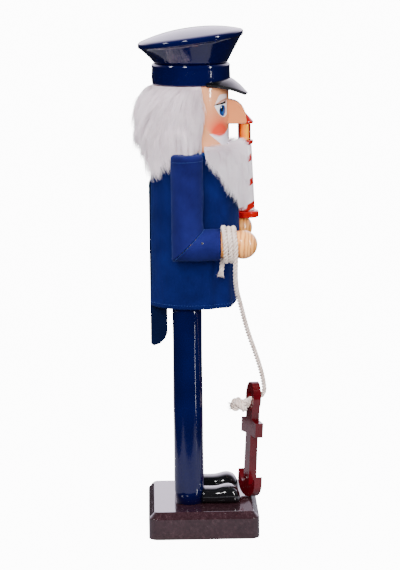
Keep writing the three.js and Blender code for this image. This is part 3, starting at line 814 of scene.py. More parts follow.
def bare_wood(name, light, dark, ring_scale, stretch, gloss, coat=0.0, direction="X"):
    """Straight-grained wood: stretched rings with fine pores."""
    material, tree, shader = principled(name, Coat_Weight=coat, Coat_Roughness=0.08)
    place = object_place(tree)
    laid = chain(tree, "ShaderNodeMapping", {"Vector": place, "Scale": stretch})
    wander = chain(tree, "ShaderNodeTexNoise", {"Vector": laid.outputs[0], "Scale": 90, "Detail": 2})
    pushed = chain(tree, "ShaderNodeVectorMath", {0: wander.outputs["Color"], "Scale": 0.006},
                   operation="SCALE")
    moved = chain(tree, "ShaderNodeVectorMath", {0: laid.outputs[0], 1: pushed.outputs[0]}, operation="ADD")
    rings = chain(tree, "ShaderNodeTexWave", {"Vector": moved.outputs[0], "Scale": ring_scale,
                                              "Distortion": 2.0,
                                              "Detail": 3}, wave_type="BANDS", bands_direction=direction)
    pores = chain(tree, "ShaderNodeTexNoise", {"Vector": laid.outputs[0], "Scale": 1100, "Detail": 3})
    mixed = chain(tree, "ShaderNodeMath", {0: pores.outputs[0], 1: 0.5, 2: rings.outputs["Fac"]},
                  operation="MULTIPLY_ADD")
    scaled = chain(tree, "ShaderNodeMath", {0: mixed.outputs[0], 1: 0.72}, operation="MULTIPLY")
    tone = ramp(tree, scaled.outputs[0], [(0.12, dark), (0.5, light),
                                          (0.95, tuple(min(1, c * 1.2) for c in light))])
    tree.links.new(tone, shader.inputs["Base Color"])
    rough = chain(tree, "ShaderNodeMapRange", {"Value": pores.outputs[0], "To Min": gloss,
                                               "To Max": gloss + 0.2})
    tree.links.new(rough.outputs[0], shader.inputs["Roughness"])
    bump = chain(tree, "ShaderNodeBump", {"Height": mixed.outputs[0], "Strength": 0.15, "Distance": 0.0002})
    tree.links.new(bump.outputs[0], shader.inputs["Normal"])
    return material


dowel_wood = bare_wood("dowel_wood", (0.62, 0.4, 0.2), (0.42, 0.24, 0.1), 60, (1, 1, 0.1), 0.5)
hand_wood = bare_wood("hand_wood", (0.90, 0.38, 0.10), (0.50, 0.16, 0.03), 120, (0.35, 1, 0.4), 0.2,
                      coat=0.5, direction="Y")
for node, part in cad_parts.items():
    if node.endswith(("_dowel", "_upper_arm", "_forearm")):
        dress(node, dowel_wood)

for side, sign in (("right", -1), ("left", 1)):
    low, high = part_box(f"{side}_upper_sleeve")
    fore_low, fore_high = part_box(f"{side}_lower_sleeve")
    arm = Vector(((low.x + high.x) / 2, (low.y + high.y) / 2, (fore_low.z + fore_high.z) / 2))
    sleeve = (high.x - low.x) / 2 - CLOTH * 0.6
    cuff_y = fore_low.y

    def upper_point(u, v):
        """v runs up the upper arm from the mitre, over the rolled edge and in across the top."""
        turn = 2 * math.pi * u
        across, back = math.sin(turn), math.cos(turn)
        shaft = 0.86
        roll = 0.0016
        if v <= shaft:
            start = arm.z - sleeve * back + 0.0003
            z = start + (high.z - roll - start) * v / shaft
            radius = sleeve
        else:
            over = (v - shaft) / (1 - shaft)
            edge = min(1, over / 0.3)
            z = high.z - roll + roll * math.sin(edge * math.pi / 2) - 0.0009 * max(0, over - 0.3)
            radius = (sleeve - roll * (1 - math.cos(edge * math.pi / 2))) * (1 - max(0,
                    over - 0.3) / 0.7 * 0.97)
        wrinkle = 0.00035 * noise.noise(Vector((turn * 1.3 + 9 * sign, z * 60, 2))) * min(1, 6 * (1 - v))
        near_elbow = -0.0005 * bump_at(z, arm.z + 0.02, 0.006) * max(0, -back)
        radius += wrinkle + near_elbow
        return Vector((arm.x + across * radius, arm.y + back * radius, z))

    def lower_point(u, v):
        """v runs from the mitre along the forearm to the cuff."""
        turn = 2 * math.pi * u
        across, rise = math.sin(turn), math.cos(turn)
        start = arm.y - sleeve * rise - 0.0003
        y = start + (cuff_y - start) * v
        wrinkle = 0.0004 * noise.noise(Vector((turn * 1.4, y * 70, 5 + sign)))
        cuff = 0.0003 * bump_at(v, 1, 0.04)
        radius = sleeve + wrinkle + cuff
        return Vector((arm.x + across * radius, y, arm.z + rise * radius))

    girth = 2 * math.pi * sleeve
    upper_size = (girth, high.z - arm.z + sleeve)
    upper_sleeve = cloth_sheet(f"{side}_upper_sleeve_cloth", 72, 90, upper_point, size=upper_size, wrap=True)
    fit_out(upper_sleeve, "figure", "sleeve_cloth", sleeve_cloth, f"{side}_upper_sleeve")
    lower_size = (girth, arm.y + sleeve - cuff_y)
    lower_sleeve = cloth_sheet(f"{side}_lower_sleeve_cloth", 72, 40, lower_point, size=lower_size, wrap=True)
    fit_out(lower_sleeve, "figure", "sleeve_cloth", sleeve_cloth, f"{side}_lower_sleeve")

    # Thread of the mitre seam, the seam round the shoulder, and the tack at the inside of the elbow.
    mitre_line = [arm + (lower_point(k / 80, 0.012) - arm) * 1.035 for k in range(81)]
    stitched(f"{side}_mitre_stitches", mitre_line, "sleeve_cloth",
             **{"Spacing": 0.0011, "Stitch length": 0.0011, "Thread radius": 0.00012})
    shoulder_line = [upper_point(k / 60, 0.83) for k in range(61)]
    shoulder_line = [p + Vector((p.x - arm.x, p.y - arm.y, 0)) * 0.05 for p in shoulder_line]
    stitched(f"{side}_shoulder_stitches", shoulder_line, "sleeve_cloth",
             **{"Spacing": 0.0016, "Thread radius": 0.0001})
    tack_x = arm.x + sign * (sleeve + CLOTH * 0.5)
    tack = turned(f"{side}_elbow_tack", [(0, 0), (0.0009, 0), (0.0008, 0.0003), (0.0004, 0.0005),
                                         (0, 0.0006)],
                  (0, 0, 0), segments=20)
    for vertex in tack.data.vertices:
        x, y, z = vertex.co
        vertex.co = (tack_x + sign * z, arm.y - 0.0105 + y, arm.z + 0.003 + x)
    fit_out(tack, "figure", "screw_steel", screw_steel)


# Hands. Beech balls turned with a thick wrist, satin lacquered so that the grain shows; the left
# one is flattened on top for the lighthouse.
for side in ("right", "left"):
    low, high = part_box(f"{side}_hand")
    centre = Vector(((low.x + high.x) / 2, 0, WRIST_AXIS.z))
    ball = (high.x - low.x) / 2
    ball_y = -low.y - ball
    wrist = 0.0098
    bend = math.asin(wrist / ball)
    profile = [(0, -high.y), (wrist, -high.y)]
    profile += [(ball * math.sin(a), ball_y - ball * math.cos(a)) for a in
                [bend + (math.pi - bend) * k / 28 for k in range(29)]]
    profile[-1] = (0, -low.y)
    hand = turned(f"{side}_fist", profile, centre, axis="Y", segments=64)
    if side == "left":
        for vertex in hand.data.vertices:
            vertex.co.z = min(vertex.co.z, high.z)
    fit_out(hand, "figure", "hand_wood", hand_wood, f"{side}_hand")


# Head. A turned block sawn for the jaw, lacquered flesh pink; the face is brushed on under the
# lacquer, the same on both sides of the nose.
def calc(tree, operation, *values, clamp=False):
    """The result of one arithmetic node."""
    return chain(tree, "ShaderNodeMath", dict(enumerate(values)), operation=operation,
                 use_clamp=clamp).outputs[0]


def inside(tree, depth, softness):
    """1 where depth (millimetres inside an outline) is positive, fading over the softness."""
    return calc(tree, "MULTIPLY_ADD", depth, 1 / softness, 0.5, clamp=True)


def both_of(tree, *masks):
    joined = masks[0]
    for mask in masks[1:]:
        joined = calc(tree, "MULTIPLY", joined, mask)
    return joined


def brushed(tree, under, colour, mask):
    mixed = chain(tree, "ShaderNodeMix", {"Factor": mask}, data_type="RGBA")
    for socket, value in (("A", under), ("B", colour)):
        if isinstance(value, tuple):
            mixed.inputs[socket].default_value = (*value, 1)
        else:
            tree.links.new(value, mixed.inputs[socket])
    return mixed.outputs["Result"]


head_low, head_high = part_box("head")
head_axis = (head_low + head_high) / 2
HEAD_RADIUS = (head_high.x - head_low.x) / 2
SKIN = (0.72, 0.30, 0.145)


def oval(tree, u, z, centre, half):
    """Depth inside an oval: 1 at its centre, 0 on its outline."""
    across = calc(tree, "DIVIDE", calc(tree, "SUBTRACT", u, centre[0]), half[0])
    rise = calc(tree, "DIVIDE", calc(tree, "SUBTRACT", z, centre[1]), half[1])
    reach = calc(tree, "SQRT", calc(tree, "ADD", calc(tree, "POWER", across, 2),
                                    calc(tree, "POWER", rise, 2)))
    return calc(tree, "SUBTRACT", 1.0, reach)


def face_paint():
    """Arc length from the middle of the face and height, in millimetres, drive every painted shape."""
    group = bpy.data.node_groups.new("face_paint", "ShaderNodeTree")
    group.interface.new_socket("Skin", in_out="INPUT", socket_type="NodeSocketColor").default_value = (*SKIN,
            1)
    group.interface.new_socket("Colour", in_out="OUTPUT", socket_type="NodeSocketColor")
    place = object_place(group)
    shake = chain(group, "ShaderNodeTexNoise", {"Vector": place, "Scale": 260, "Detail": 2})
    shaken = chain(group, "ShaderNodeVectorMath", {0: shake.outputs["Color"], 1: (0.5, 0.5, 0.5)},
                   operation="SUBTRACT")
    hand = chain(group, "ShaderNodeVectorMath", {0: shaken.outputs[0], "Scale": 0.0009}, operation="SCALE")
    moved = chain(group, "ShaderNodeVectorMath", {0: place, 1: hand.outputs[0]}, operation="ADD")
    parts = chain(group, "ShaderNodeSeparateXYZ", {"Vector": moved.outputs[0]}).outputs
    ahead = calc(group, "SUBTRACT", head_axis.y, parts["Y"])
    angle = calc(group, "ARCTAN2", calc(group, "ABSOLUTE", parts["X"]), ahead)
    u = calc(group, "MULTIPLY", angle, HEAD_RADIUS * 1000)
    z = calc(group, "MULTIPLY", parts["Z"], 1000)
    colour = chain(group, "NodeGroupInput").outputs["Skin"]

    def minus(whole, part):
        return calc(group, "SUBTRACT", whole, part)

    def times_add(value, factor, extra):
        return calc(group, "MULTIPLY_ADD", value, factor, extra)

    def within(depth, softness):
        return inside(group, depth, softness)

    def overlap(*masks):
        return both_of(group, *masks)

    def paint(under, over_it, mask):
        return brushed(group, under, over_it, mask)

    def oval_at(centre, half):
        return oval(group, u, z, centre, half)

    # Moustache: white down to the mouth, cut away below by a slanting line.
    past = calc(group, "MAXIMUM", minus(15.0, u), 0.0)
    upper = minus(times_add(past, 0.3, 301.6), z)
    lower = minus(z, times_add(minus(u, 19.8), 0.72, 293.4))
    colour = paint(colour, (0.78, 0.74, 0.83), overlap(within(upper, 0.4), within(lower, 0.4)))

    # Glue line beside the nose.
    off_edge = calc(group, "ABSOLUTE", minus(u, 6.75))
    glue = overlap(within(minus(0.25, off_edge), 0.4),
                   within(minus(z, 306.6), 0.5), within(minus(326.0, z), 0.5))
    colour = paint(colour, (0.16, 0.05, 0.025), calc(group, "MULTIPLY", glue, 0.85))

    # Cheek: a round red spot with a clean lower edge, fading upward.
    spot = calc(group, "MULTIPLY", oval_at((20.6, 306.6), (11.2, 7.4)), 7.4)
    over = calc(group, "MAXIMUM", minus(z, 303.0), 0.0)
    fade = times_add(over, 1.5, 1.8)
    rouge = calc(group, "ADD", calc(group, "DIVIDE", spot, fade), 0.35, clamp=True)
    colour = paint(colour, (0.74, 0.055, 0.025), calc(group, "MULTIPLY", rouge, 0.95))

    # Brow: a pale fan above the eye with a brown stroke under it.
    lid = times_add(minus(u, 11.0), -0.12, 324.3)
    rise = calc(group, "POWER", calc(group, "MAXIMUM", minus(u, 20.0), 0.0), 1.5)
    brow_top = times_add(rise, -0.52, 330.3)
    inner = within(minus(u, 10.6), 0.4)
    fan = overlap(inner, within(minus(z, lid), 0.4),
                  within(minus(brow_top, z), 0.6))
    colour = paint(colour, (0.80, 0.62, 0.60), fan)
    bend = calc(group, "POWER", minus(u, 13.0), 2)
    stroke = calc(group, "ABSOLUTE", minus(z, times_add(bend, -0.024, 326.1)))
    under_brow = overlap(inner, within(minus(25.4, u), 0.5),
                         within(minus(0.75, stroke), 1.0))
    colour = paint(colour, (0.42, 0.15, 0.075), calc(group, "MULTIPLY", under_brow, 0.85))

    # Eye: a white drop under a straight lid, navy iris, black pupil, black lid line, with a painted
    # highlight: a lighter blue patch in the iris and one light spot.
    outer = calc(group, "POWER", calc(group, "MAXIMUM", minus(u, 16.0), 0.0), 2)
    nearer = calc(group, "POWER", calc(group, "MINIMUM", minus(u, 16.0), 0.0), 2)
    drop = times_add(outer, 0.083, times_add(nearer, 0.06, 313.4))
    white = overlap(inner, within(minus(z, drop), 0.5),
                    within(minus(lid, z), 0.4))
    colour = paint(colour, (0.84, 0.83, 0.88), white)
    iris = oval_at((17.3, 318.3), (4.1, 4.2))
    colour = paint(colour, (0.006, 0.028, 0.14), overlap(white, within(iris, 0.1)))
    # Lighter blue in the iris: painted highlight.
    painted_iris_highlight = oval_at((16.2, 317.2), (2.3, 2.2))
    colour = paint(colour, (0.012, 0.085, 0.28), overlap(white, within(painted_iris_highlight, 0.5)))
    pupil = oval_at((18.2, 319.2), (1.7, 1.9))
    colour = paint(colour, (0.004, 0.006, 0.02), overlap(white, within(pupil, 0.3)))
    # A light spot over the pupil: painted glint.
    painted_glint = oval_at((19.0, 320.6), (0.75, 0.6))
    colour = paint(colour, (0.7, 0.8, 0.95), within(painted_glint, 0.4))
    weight = times_add(minus(26.8, u), 0.05, 0.28)
    line = calc(group, "ABSOLUTE", minus(minus(z, lid), 0.2))
    lash = overlap(within(minus(weight, line), 0.35),
                   within(minus(u, 12.3), 0.4), within(minus(26.6, u), 0.4))
    colour = paint(colour, (0.008, 0.007, 0.008), lash)
    chain(group, "NodeGroupOutput", {"Colour": colour})
    return group


face = face_paint()


def painted_face(tree):
    return chain(tree, "ShaderNodeGroup", node_tree=face).outputs["Colour"]


def sawn(piece, *blocks):
    """Cuts boxes given as (low corner, high corner) out of a piece, and keeps the result plain."""
    cutters = []
    for low, high in blocks:
        corners = [Vector((x, y, z)) for z in (low[2], high[2]) for y in (low[1], high[1]) for x in (low[0],
                high[0])]
        faces = [(0, 2, 3, 1), (4, 5, 7, 6), (0, 1, 5, 4), (2, 6, 7, 3), (0, 4, 6, 2), (1, 3, 7, 5)]
        cutter = new_piece("saw_cut", corners, faces, smooth=False)
        cut = piece.modifiers.new("saw cut", "BOOLEAN")
        cut.operation, cut.solver, cut.object = "DIFFERENCE", "EXACT", cutter
        cutters.append(cutter)
    bpy.context.view_layer.update()
    mesh = bpy.data.meshes.new_from_object(piece.evaluated_get(bpy.context.evaluated_depsgraph_get()))
    piece.modifiers.clear()
    piece.data = mesh
    for cutter in cutters:
        discard(cutter)
    return piece


def crisp(piece, degrees=35):
    """Smooth shading that stays sharp over real edges."""
    mesh = bmesh.new()
    mesh.from_mesh(piece.data)
    for edge in mesh.edges:
        edge.smooth = len(edge.link_faces) == 2 and edge.calc_face_angle(0) < math.radians(degrees)
    mesh.to_mesh(piece.data)
    mesh.free()
    piece.data.polygons.foreach_set("use_smooth", [True] * len(piece.data.polygons))
    return piece


skin_lacquer = lacquer("skin_lacquer", painted_face, scale=45, shade=0.05, gloss=0.05, ripple=0.0004)
skull = turned("head_block", rounded([(0, head_low.z), (HEAD_RADIUS, head_low.z), (HEAD_RADIUS, head_high.z),
                                      (0, head_high.z)], 0.0012), (head_axis.x, head_axis.y, 0), segments=128)
sawn(skull, ((-0.01, -0.06, 0.28), (0.01, 0.02, 0.2934)), ((-0.01, 0.0199, 0.28), (0.01, 0.06, 0.2918)))
fit_out(crisp(skull), "figure", "skin_lacquer", skin_lacquer, "head")


# Nose. A hooked wedge of thin board glued to the face, lacquered a shade darker than the head.
nose_low, nose_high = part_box("nose")
bridge = [(-0.0358, nose_low.z), (-0.0364, 0.3083), (-0.0362, 0.3105), (-0.0357, 0.3142), (-0.0347, 0.3177),
          (-0.0330, 0.3206), (-0.0306, 0.3229), (-0.0278, 0.3245), (-0.0230, nose_high.z)]
outline = [(-0.0205, nose_low.z), *bridge, (-0.0205, nose_high.z)]
half = (nose_high.x - nose_low.x) / 2
count = len(outline)
nose = new_piece(
    "nose_wedge", [Vector((x, y, z)) for x in (-half, half) for y, z in outline],
    [tuple(range(count)), tuple(reversed(range(count, 2 * count)))]
    + [(k, count + k, count + (k + 1) % count, (k + 1) % count) for k in range(count)])
tidied = bmesh.new()
tidied.from_mesh(nose.data)
bmesh.ops.recalc_face_normals(tidied, faces=tidied.faces)
tidied.to_mesh(nose.data)
tidied.free()
edge = nose.modifiers.new("sanded edges", "BEVEL")
edge.width, edge.segments, edge.limit_method, edge.angle_limit = 0.0011, 4, "ANGLE", math.radians(40)
nose.modifiers.new("even shading", "WEIGHTED_NORMAL").keep_sharp = True
nose_lacquer = lacquer("nose_lacquer", (0.64, 0.21, 0.075), scale=50, shade=0.08, gloss=0.05, ripple=0.0004)
fit_out(nose, "figure", "nose_lacquer", nose_lacquer, "nose")


# Hat. Turned band, tilted crown with a thin rim, and a black peak let in under the band.
band_low, band_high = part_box("hat_band")
crown_low, crown_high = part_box("hat_crown")
hat_axis = Vector((0, head_axis.y, 0))
BAND_RADIUS = (band_high.x - band_low.x) / 2
RIM_RADIUS = (crown_high.x - crown_low.x) / 2
RIM_TILT = 0.122
NECK = 0.0286
hat_lacquer = lacquer("hat_lacquer", (0.0005, 0.0012, 0.028), scale=30, shade=0.25, gloss=0.04,
                      ripple=0.0006, coat=0.4)
band = turned("hat_band_ring", rounded([
    (0, band_low.z), (BAND_RADIUS - 0.0005, band_low.z), (BAND_RADIUS, band_low.z + 0.005),
    (BAND_RADIUS - 0.0003, band_high.z - 0.0035), (BAND_RADIUS, band_high.z - 0.0014),
    (BAND_RADIUS - 0.001, band_high.z),
    (NECK - 0.0012, band_high.z), (0, band_high.z)], 0.0012), hat_axis, segments=160, waver=0.0012)
fit_out(band, "figure", "navy_lacquer", hat_lacquer, "hat_band")

rim_z = 0.3703
rim_foot = rim_z - 0.0023
flare = [(NECK - 0.0006 + (RIM_RADIUS - 0.0012 - NECK) * (k / 10) ** 1.08, crown_low.z + 0.001 +
          (rim_foot - crown_low.z - 0.001) * k / 10) for k in range(11)]
dome = [((RIM_RADIUS - 0.0013) * (1 - k / 14),
         rim_z + 0.0029 + 0.0059 * (1 - (1 - k / 14) ** 2.2)) for k in range(15)]
rim_edge = rounded([flare[-1], (RIM_RADIUS - 0.0002, rim_z - 0.0014), (RIM_RADIUS, rim_z + 0.0018), dome[0]],
                   0.0011, 4)
dome[-1] = (0, dome[-1][1])
crown_profile = [(0, crown_low.z), (NECK - 0.0014, crown_low.z), *flare, *rim_edge[1:-1], *dome]
crown = turned("hat_crown_top", crown_profile, hat_axis, segments=160, waver=0.0012)
for vertex in crown.data.vertices:
    share = min(1, max(0, (vertex.co.z - crown_low.z) / (rim_foot - crown_low.z)))
    vertex.co.z -= share * RIM_TILT * (vertex.co.y - hat_axis.y)
fit_out(crown, "figure", "navy_lacquer", hat_lacquer, "hat_crown")

PEAK_HALF_ANGLE = math.radians(68.5)
peak_skirt = [(0.024, 0.343), (0.031, 0.3394), (0.037, 0.3336), (0.043, 0.326)]
PEAK_SAG = 0.0046
PEAK_THICKNESS = 0.0026


def peak_height(radius):
    """Middle of the peak's thickness at a distance from the hat's axis."""
    for (r0, z0), (r1, z1) in zip(peak_skirt, peak_skirt[1:]):
        if radius <= r1:
            return z0 + (z1 - z0) * (radius - r0) / (r1 - r0) + 0.0014
    return peak_skirt[-1][1] + 0.0014


peak_columns, peak_rows = 60, 12
peak_vertices = []
for j in range(peak_rows + 1):
    for i in range(peak_columns + 1):
        turn = PEAK_HALF_ANGLE * (2 * i / peak_columns - 1)
        edge_radius = 1 / math.hypot(math.sin(turn) / 0.0298, math.cos(turn) / 0.0417)
        radius = 0.0288 + (max(edge_radius, 0.0294) - 0.0288) * j / peak_rows
        soft = sum(peak_height(radius + s * 0.0015) for s in (-1, 0, 1)) / 3
        drop = PEAK_SAG * (1 - min(1, max(0, radius * math.cos(turn) / 0.043)))
        peak_vertices.append(hat_axis + Vector((radius * math.sin(turn), -radius * math.cos(turn),
                                                soft - drop)))
row = peak_columns + 1
peak = new_piece("hat_peak", peak_vertices, [
    (j * row + i, (j + 1) * row + i, (j + 1) * row + i + 1, j * row + i + 1)
    for j in range(peak_rows) for i in range(peak_columns)])
board = peak.modifiers.new("peak thickness", "SOLIDIFY")
board.thickness, board.offset = PEAK_THICKNESS, 0
edge = peak.modifiers.new("dipped edge", "BEVEL")
edge.width, edge.segments, edge.limit_method, edge.angle_limit = 0.0011, 4, "ANGLE", math.radians(50)
peak_lacquer = lacquer("peak_lacquer", (0.003, 0.003, 0.0035), scale=60, shade=0.3, gloss=0.05,
                       ripple=0.0008, coat=0.15, shine=0.28)
fit_out(peak, "figure", "black_lacquer", peak_lacquer, "hat_visor")


# Hair. Long white lambskin fur on a felt cap glued round the back of the head: a shaped underlayer
# with thousands of combed strands standing on it, longer and clumped along the lower edge.
def fur_tree():
    """Plants curved tapering strands on a base, along its comb attribute."""
    tree, given = growth_tree("combed_fur", {
        "Density": 1e6, "Shortest": 0.010, "Longest": 0.016, "Unruly": 0.25, "Clumping": 0.5,
        "Clump size": 0.006, "Strand radius": 0.008, "Lift": 0.3}, seed=1)

    # One strand, a unit long: it leaves the hide along X and turns to run along Z.
    bow = chain(tree, "ShaderNodeCombineXYZ", {"X": given["Lift"], "Y": 0.0, "Z": 0.4})
    strand = chain(tree, "GeometryNodeCurveQuadraticBezier", {
        "Resolution": 4, "Start": (0, 0, 0), "Middle": bow.outputs[0], "End": (0.1, 0, 1)})
    along = chain(tree, "GeometryNodeSplineParameter").outputs["Factor"]
    marked = chain(tree, "GeometryNodeStoreNamedAttribute", {
        "Geometry": strand.outputs[0], "Name": "along", "Value": along}, data_type="FLOAT", domain="POINT")
    taper = chain(tree, "ShaderNodeMath", {0: along, 1: -0.8, 2: 1.0}, operation="MULTIPLY_ADD")
    thick = chain(tree, "GeometryNodeSetCurveRadius", {"Curve": marked.outputs[0],
                                                       "Radius": taper.outputs[0]})
    section = chain(tree, "GeometryNodeCurvePrimitiveCircle", {"Resolution": 3,
                                                               "Radius": given["Strand radius"]})
    hair_mesh = chain(tree, "GeometryNodeCurveToMesh", {"Curve": thick.outputs[0],
                                                        "Profile Curve": section.outputs[0]})
    if "Scale" in hair_mesh.inputs:
        tree.links.new(taper.outputs[0], hair_mesh.inputs["Scale"])

    roots = chain(tree, "GeometryNodeDistributePointsOnFaces", {
        "Mesh": given["Geometry"], "Density": given["Density"], "Seed": given["Seed"]})
    comb = chain(tree, "GeometryNodeInputNamedAttribute", {"Name": "comb"}, data_type="FLOAT_VECTOR")
    reach = chain(tree, "GeometryNodeInputNamedAttribute", {"Name": "reach"}, data_type="FLOAT")
    place = chain(tree, "GeometryNodeInputPosition").outputs[0]
    swirl = chain(tree, "ShaderNodeTexNoise", {"Vector": place, "Scale": 45, "Detail": 2})
    centred = chain(tree, "ShaderNodeVectorMath", {0: swirl.outputs["Color"], 1: (0.5, 0.5, 0.5)},
                    operation="SUBTRACT")
    waved = chain(tree, "ShaderNodeVectorMath", {0: centred.outputs[0], "Scale": 0.9}, operation="SCALE")
    stray = chain(tree, "FunctionNodeRandomValue", {"Min": (-1, -1, -1), "Max": (1, 1, 1),
                                                    "Seed": given["Seed"]},
                  data_type="FLOAT_VECTOR")
    strayed = chain(tree, "ShaderNodeVectorMath", {0: stray.outputs[0], "Scale": given["Unruly"]},
                    operation="SCALE")

    # Clumps: strands lean to the middle of their own cell.
    size = chain(tree, "ShaderNodeVectorMath", {0: (1, 1, 1), 1: given["Clump size"]}, operation="DIVIDE")
    cells = chain(tree, "ShaderNodeTexVoronoi", {"Vector": place, "Scale": size.outputs[0]}, feature="F1")
    toward = chain(tree, "ShaderNodeVectorMath", {0: cells.outputs["Position"], 1: place},
                   operation="SUBTRACT")
    per_size = chain(tree, "ShaderNodeMath", {0: given["Clumping"], 1: given["Clump size"]},
                     operation="DIVIDE")
    drawn = chain(tree, "ShaderNodeVectorMath", {0: toward.outputs[0], "Scale": per_size.outputs[0]},
                  operation="SCALE")
    heading = comb.outputs[0]
    for part in (waved, strayed, drawn):
        heading = chain(tree, "ShaderNodeVectorMath", {0: heading, 1: part.outputs[0]},
                        operation="ADD").outputs[0]
    aimed = chain(tree, "FunctionNodeAlignRotationToVector", {"Vector": heading}, axis="Z")
    turned_out = chain(tree, "FunctionNodeAlignRotationToVector", {
        "Rotation": aimed.outputs[0], "Vector": roots.outputs["Normal"]}, axis="X", pivot_axis="Z")
    length = chain(tree, "FunctionNodeRandomValue", {"Seed": given["Seed"]}, data_type="FLOAT")
    tree.links.new(given["Shortest"], length.inputs[2])
    tree.links.new(given["Longest"], length.inputs[3])
    scaled = chain(tree, "ShaderNodeMath", {0: length.outputs[1], 1: reach.outputs[0]}, operation="MULTIPLY")
    planted = chain(tree, "GeometryNodeInstanceOnPoints", {
        "Points": roots.outputs["Points"], "Instance": hair_mesh.outputs[0],
        "Rotation": turned_out.outputs[0],
        "Scale": scaled.outputs[0]})
    return end_growth(tree, planted.outputs[0], given["Material"])


def fur_with_painted_root_shade(name, root, middle, tip):
    """White fibres, greyer toward the hide with painted shade, in locks of slightly different tone."""
    material, tree, shader = principled(
        name, Roughness=0.62, Sheen_Weight=0.5, Sheen_Roughness=0.4, Subsurface_Weight=0.08,
        Subsurface_Scale=0.004)
    along = chain(tree, "ShaderNodeAttribute", attribute_name="along").outputs["Fac"]
    place = object_place(tree)
    locks = chain(tree, "ShaderNodeTexNoise", {"Vector": place, "Scale": 85, "Detail": 4, "Roughness": 0.65})
    shade = calc(tree, "MULTIPLY_ADD", calc(tree, "SUBTRACT", locks.outputs[0], 0.5), 1.0, along, clamp=True)
    # The root tone is painted shade: it darkens the strands toward the hide, where they shade each other.
    tone = ramp(tree, shade, [(0.0, root), (0.4, middle), (0.85, tip)])
    tree.links.new(tone, shader.inputs["Base Color"])
    return material


fur = fur_tree()
# The first tone, at the roots, is painted shade.
hair_fur = fur_with_painted_root_shade("hair_fur", (0.58, 0.46, 0.51), (0.86, 0.72, 0.78), (0.98, 0.87, 0.92))
hair_low, hair_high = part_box("hair")


def between(stops, value):
    """Linear reading of (position, value) stops."""
    for (p0, v0), (p1, v1) in zip(stops, stops[1:]):
        if value <= p1:
            return v0 + (v1 - v0) * max(0, (value - p0) / (p1 - p0))
    return stops[-1][1]


def hide(name, half_angle, facing, bottom_at, top, radius_at, comb_at, reach_at, columns=72, rows=26):
    """The fur's underlayer round the head: facing is 1 for the back and -1 for the front."""
    vertices = []
    for j in range(rows + 1):
        for i in range(columns + 1):
            turn = half_angle * (2 * i / columns - 1)
            foot = bottom_at(abs(turn))
            z = foot + (top - foot) * j / rows
            radius = radius_at(z, abs(turn))
            vertices.append(Vector((head_axis.x + radius * math.sin(turn),
                                    head_axis.y + facing * radius * math.cos(turn), z)))
    row = columns + 1
    faces = [(j * row + i, j * row + i + 1, (j + 1) * row + i + 1,
              (j + 1) * row + i) for j in range(rows) for i in range(columns)]
    base = new_piece(name, vertices, [f if facing < 0 else tuple(reversed(f)) for f in faces])
    for attribute, kind in (("comb", "FLOAT_VECTOR"), ("reach", "FLOAT"), ("along", "FLOAT")):
        base.data.attributes.new(attribute, kind, "POINT")
    comb, reach, along = (base.data.attributes[attribute] for attribute in ("comb", "reach", "along"))
    for index, vertex in enumerate(vertices):
        i = index % row
        turn = half_angle * (2 * i / columns - 1)
        outward = Vector((math.sin(turn), facing * math.cos(turn), 0))
        comb.data[index].vector = comb_at(turn, vertex.z, outward)
        reach.data[index].value = reach_at(abs(turn), vertex.z)
        # The hide takes a tone near the roots, so it shows the same painted shade.
        along.data[index].value = 0.12
    return base


HAIR_TOP = 0.3369
hair_profile = [(0.279, 0.0347), (0.292, 0.0362), (0.308, 0.0378), (0.322, 0.0372), (0.331, 0.0342),
                (0.3369, 0.0290)]


FRONT_EDGE = math.radians(87)
FRONT_EDGE_WIDTH = math.radians(17)
NOTCH_HALF_ANGLE = 0.4
NOTCH_TOP = 0.302
NOTCH_REACH = 0.62


def hair_bottom(turn):
    return between([(0.32, 0.2905), (0.42, 0.2800), (0.7, 0.2810), (1.0, 0.2895), (1.15, 0.2925),
                    (2.2, 0.2925)], turn)


def hair_radius(z, turn):
    """The cap's profile, brought in to the head along its front edge."""
    close_in = min(1, max(0, turn - FRONT_EDGE) / FRONT_EDGE_WIDTH)
    full = between(hair_profile, z)
    return full - (full - HEAD_RADIUS - 0.0004) * close_in**2


def hair_comb(turn, z, outward):
    tangent = Vector((-outward.y, outward.x, 0))
    rising = between([(0.27, -0.06), (0.295, 0.06), (0.318, 0.2), (0.331, 0.62), (0.338, 1.05)], z)
    sweep = 0.34 * math.sin(3.1 * turn + z * 90) - 0.25 * math.copysign(min(1, abs(turn) / 1.6) ** 2, turn)
    return (outward * rising - tangent * sweep + Vector((0, 0, -1))).normalized()


def hair_reach(turn, z):
    """Shorter beside the face, and over the notch that the lever swings through."""
    near_face = between([(0, 1.0), (1.5, 1.0), (1.85, 0.45)], turn)
    if turn < NOTCH_HALF_ANGLE and z < NOTCH_TOP:
        near_face = NOTCH_REACH
    return near_face * between([(0.27, 0.9), (0.29, 1.0), (0.325, 1.0), (0.337, 0.8)], z)


HAIR_HALF_ANGLE = math.radians(104)
hair_hide = hide("hair_felt", HAIR_HALF_ANGLE, 1, hair_bottom, HAIR_TOP, hair_radius, hair_comb, hair_reach)


def strip_of(base, name, first, last, columns):
    """Part of a hide, for one piece of fur."""
    mesh = base.data.copy()
    part = bpy.data.objects.new(name, mesh)
    bpy.context.scene.collection.objects.link(part)
    pared = bmesh.new()
    pared.from_mesh(mesh)
    pared.faces.ensure_lookup_table()
    unwanted = [f for f in pared.faces if not first <= f.index % columns < last]
    bmesh.ops.delete(pared, geom=unwanted, context="FACES")
    pared.to_mesh(mesh)
    pared.free()
    return part


STRANDS_PER_PANEL = 7600


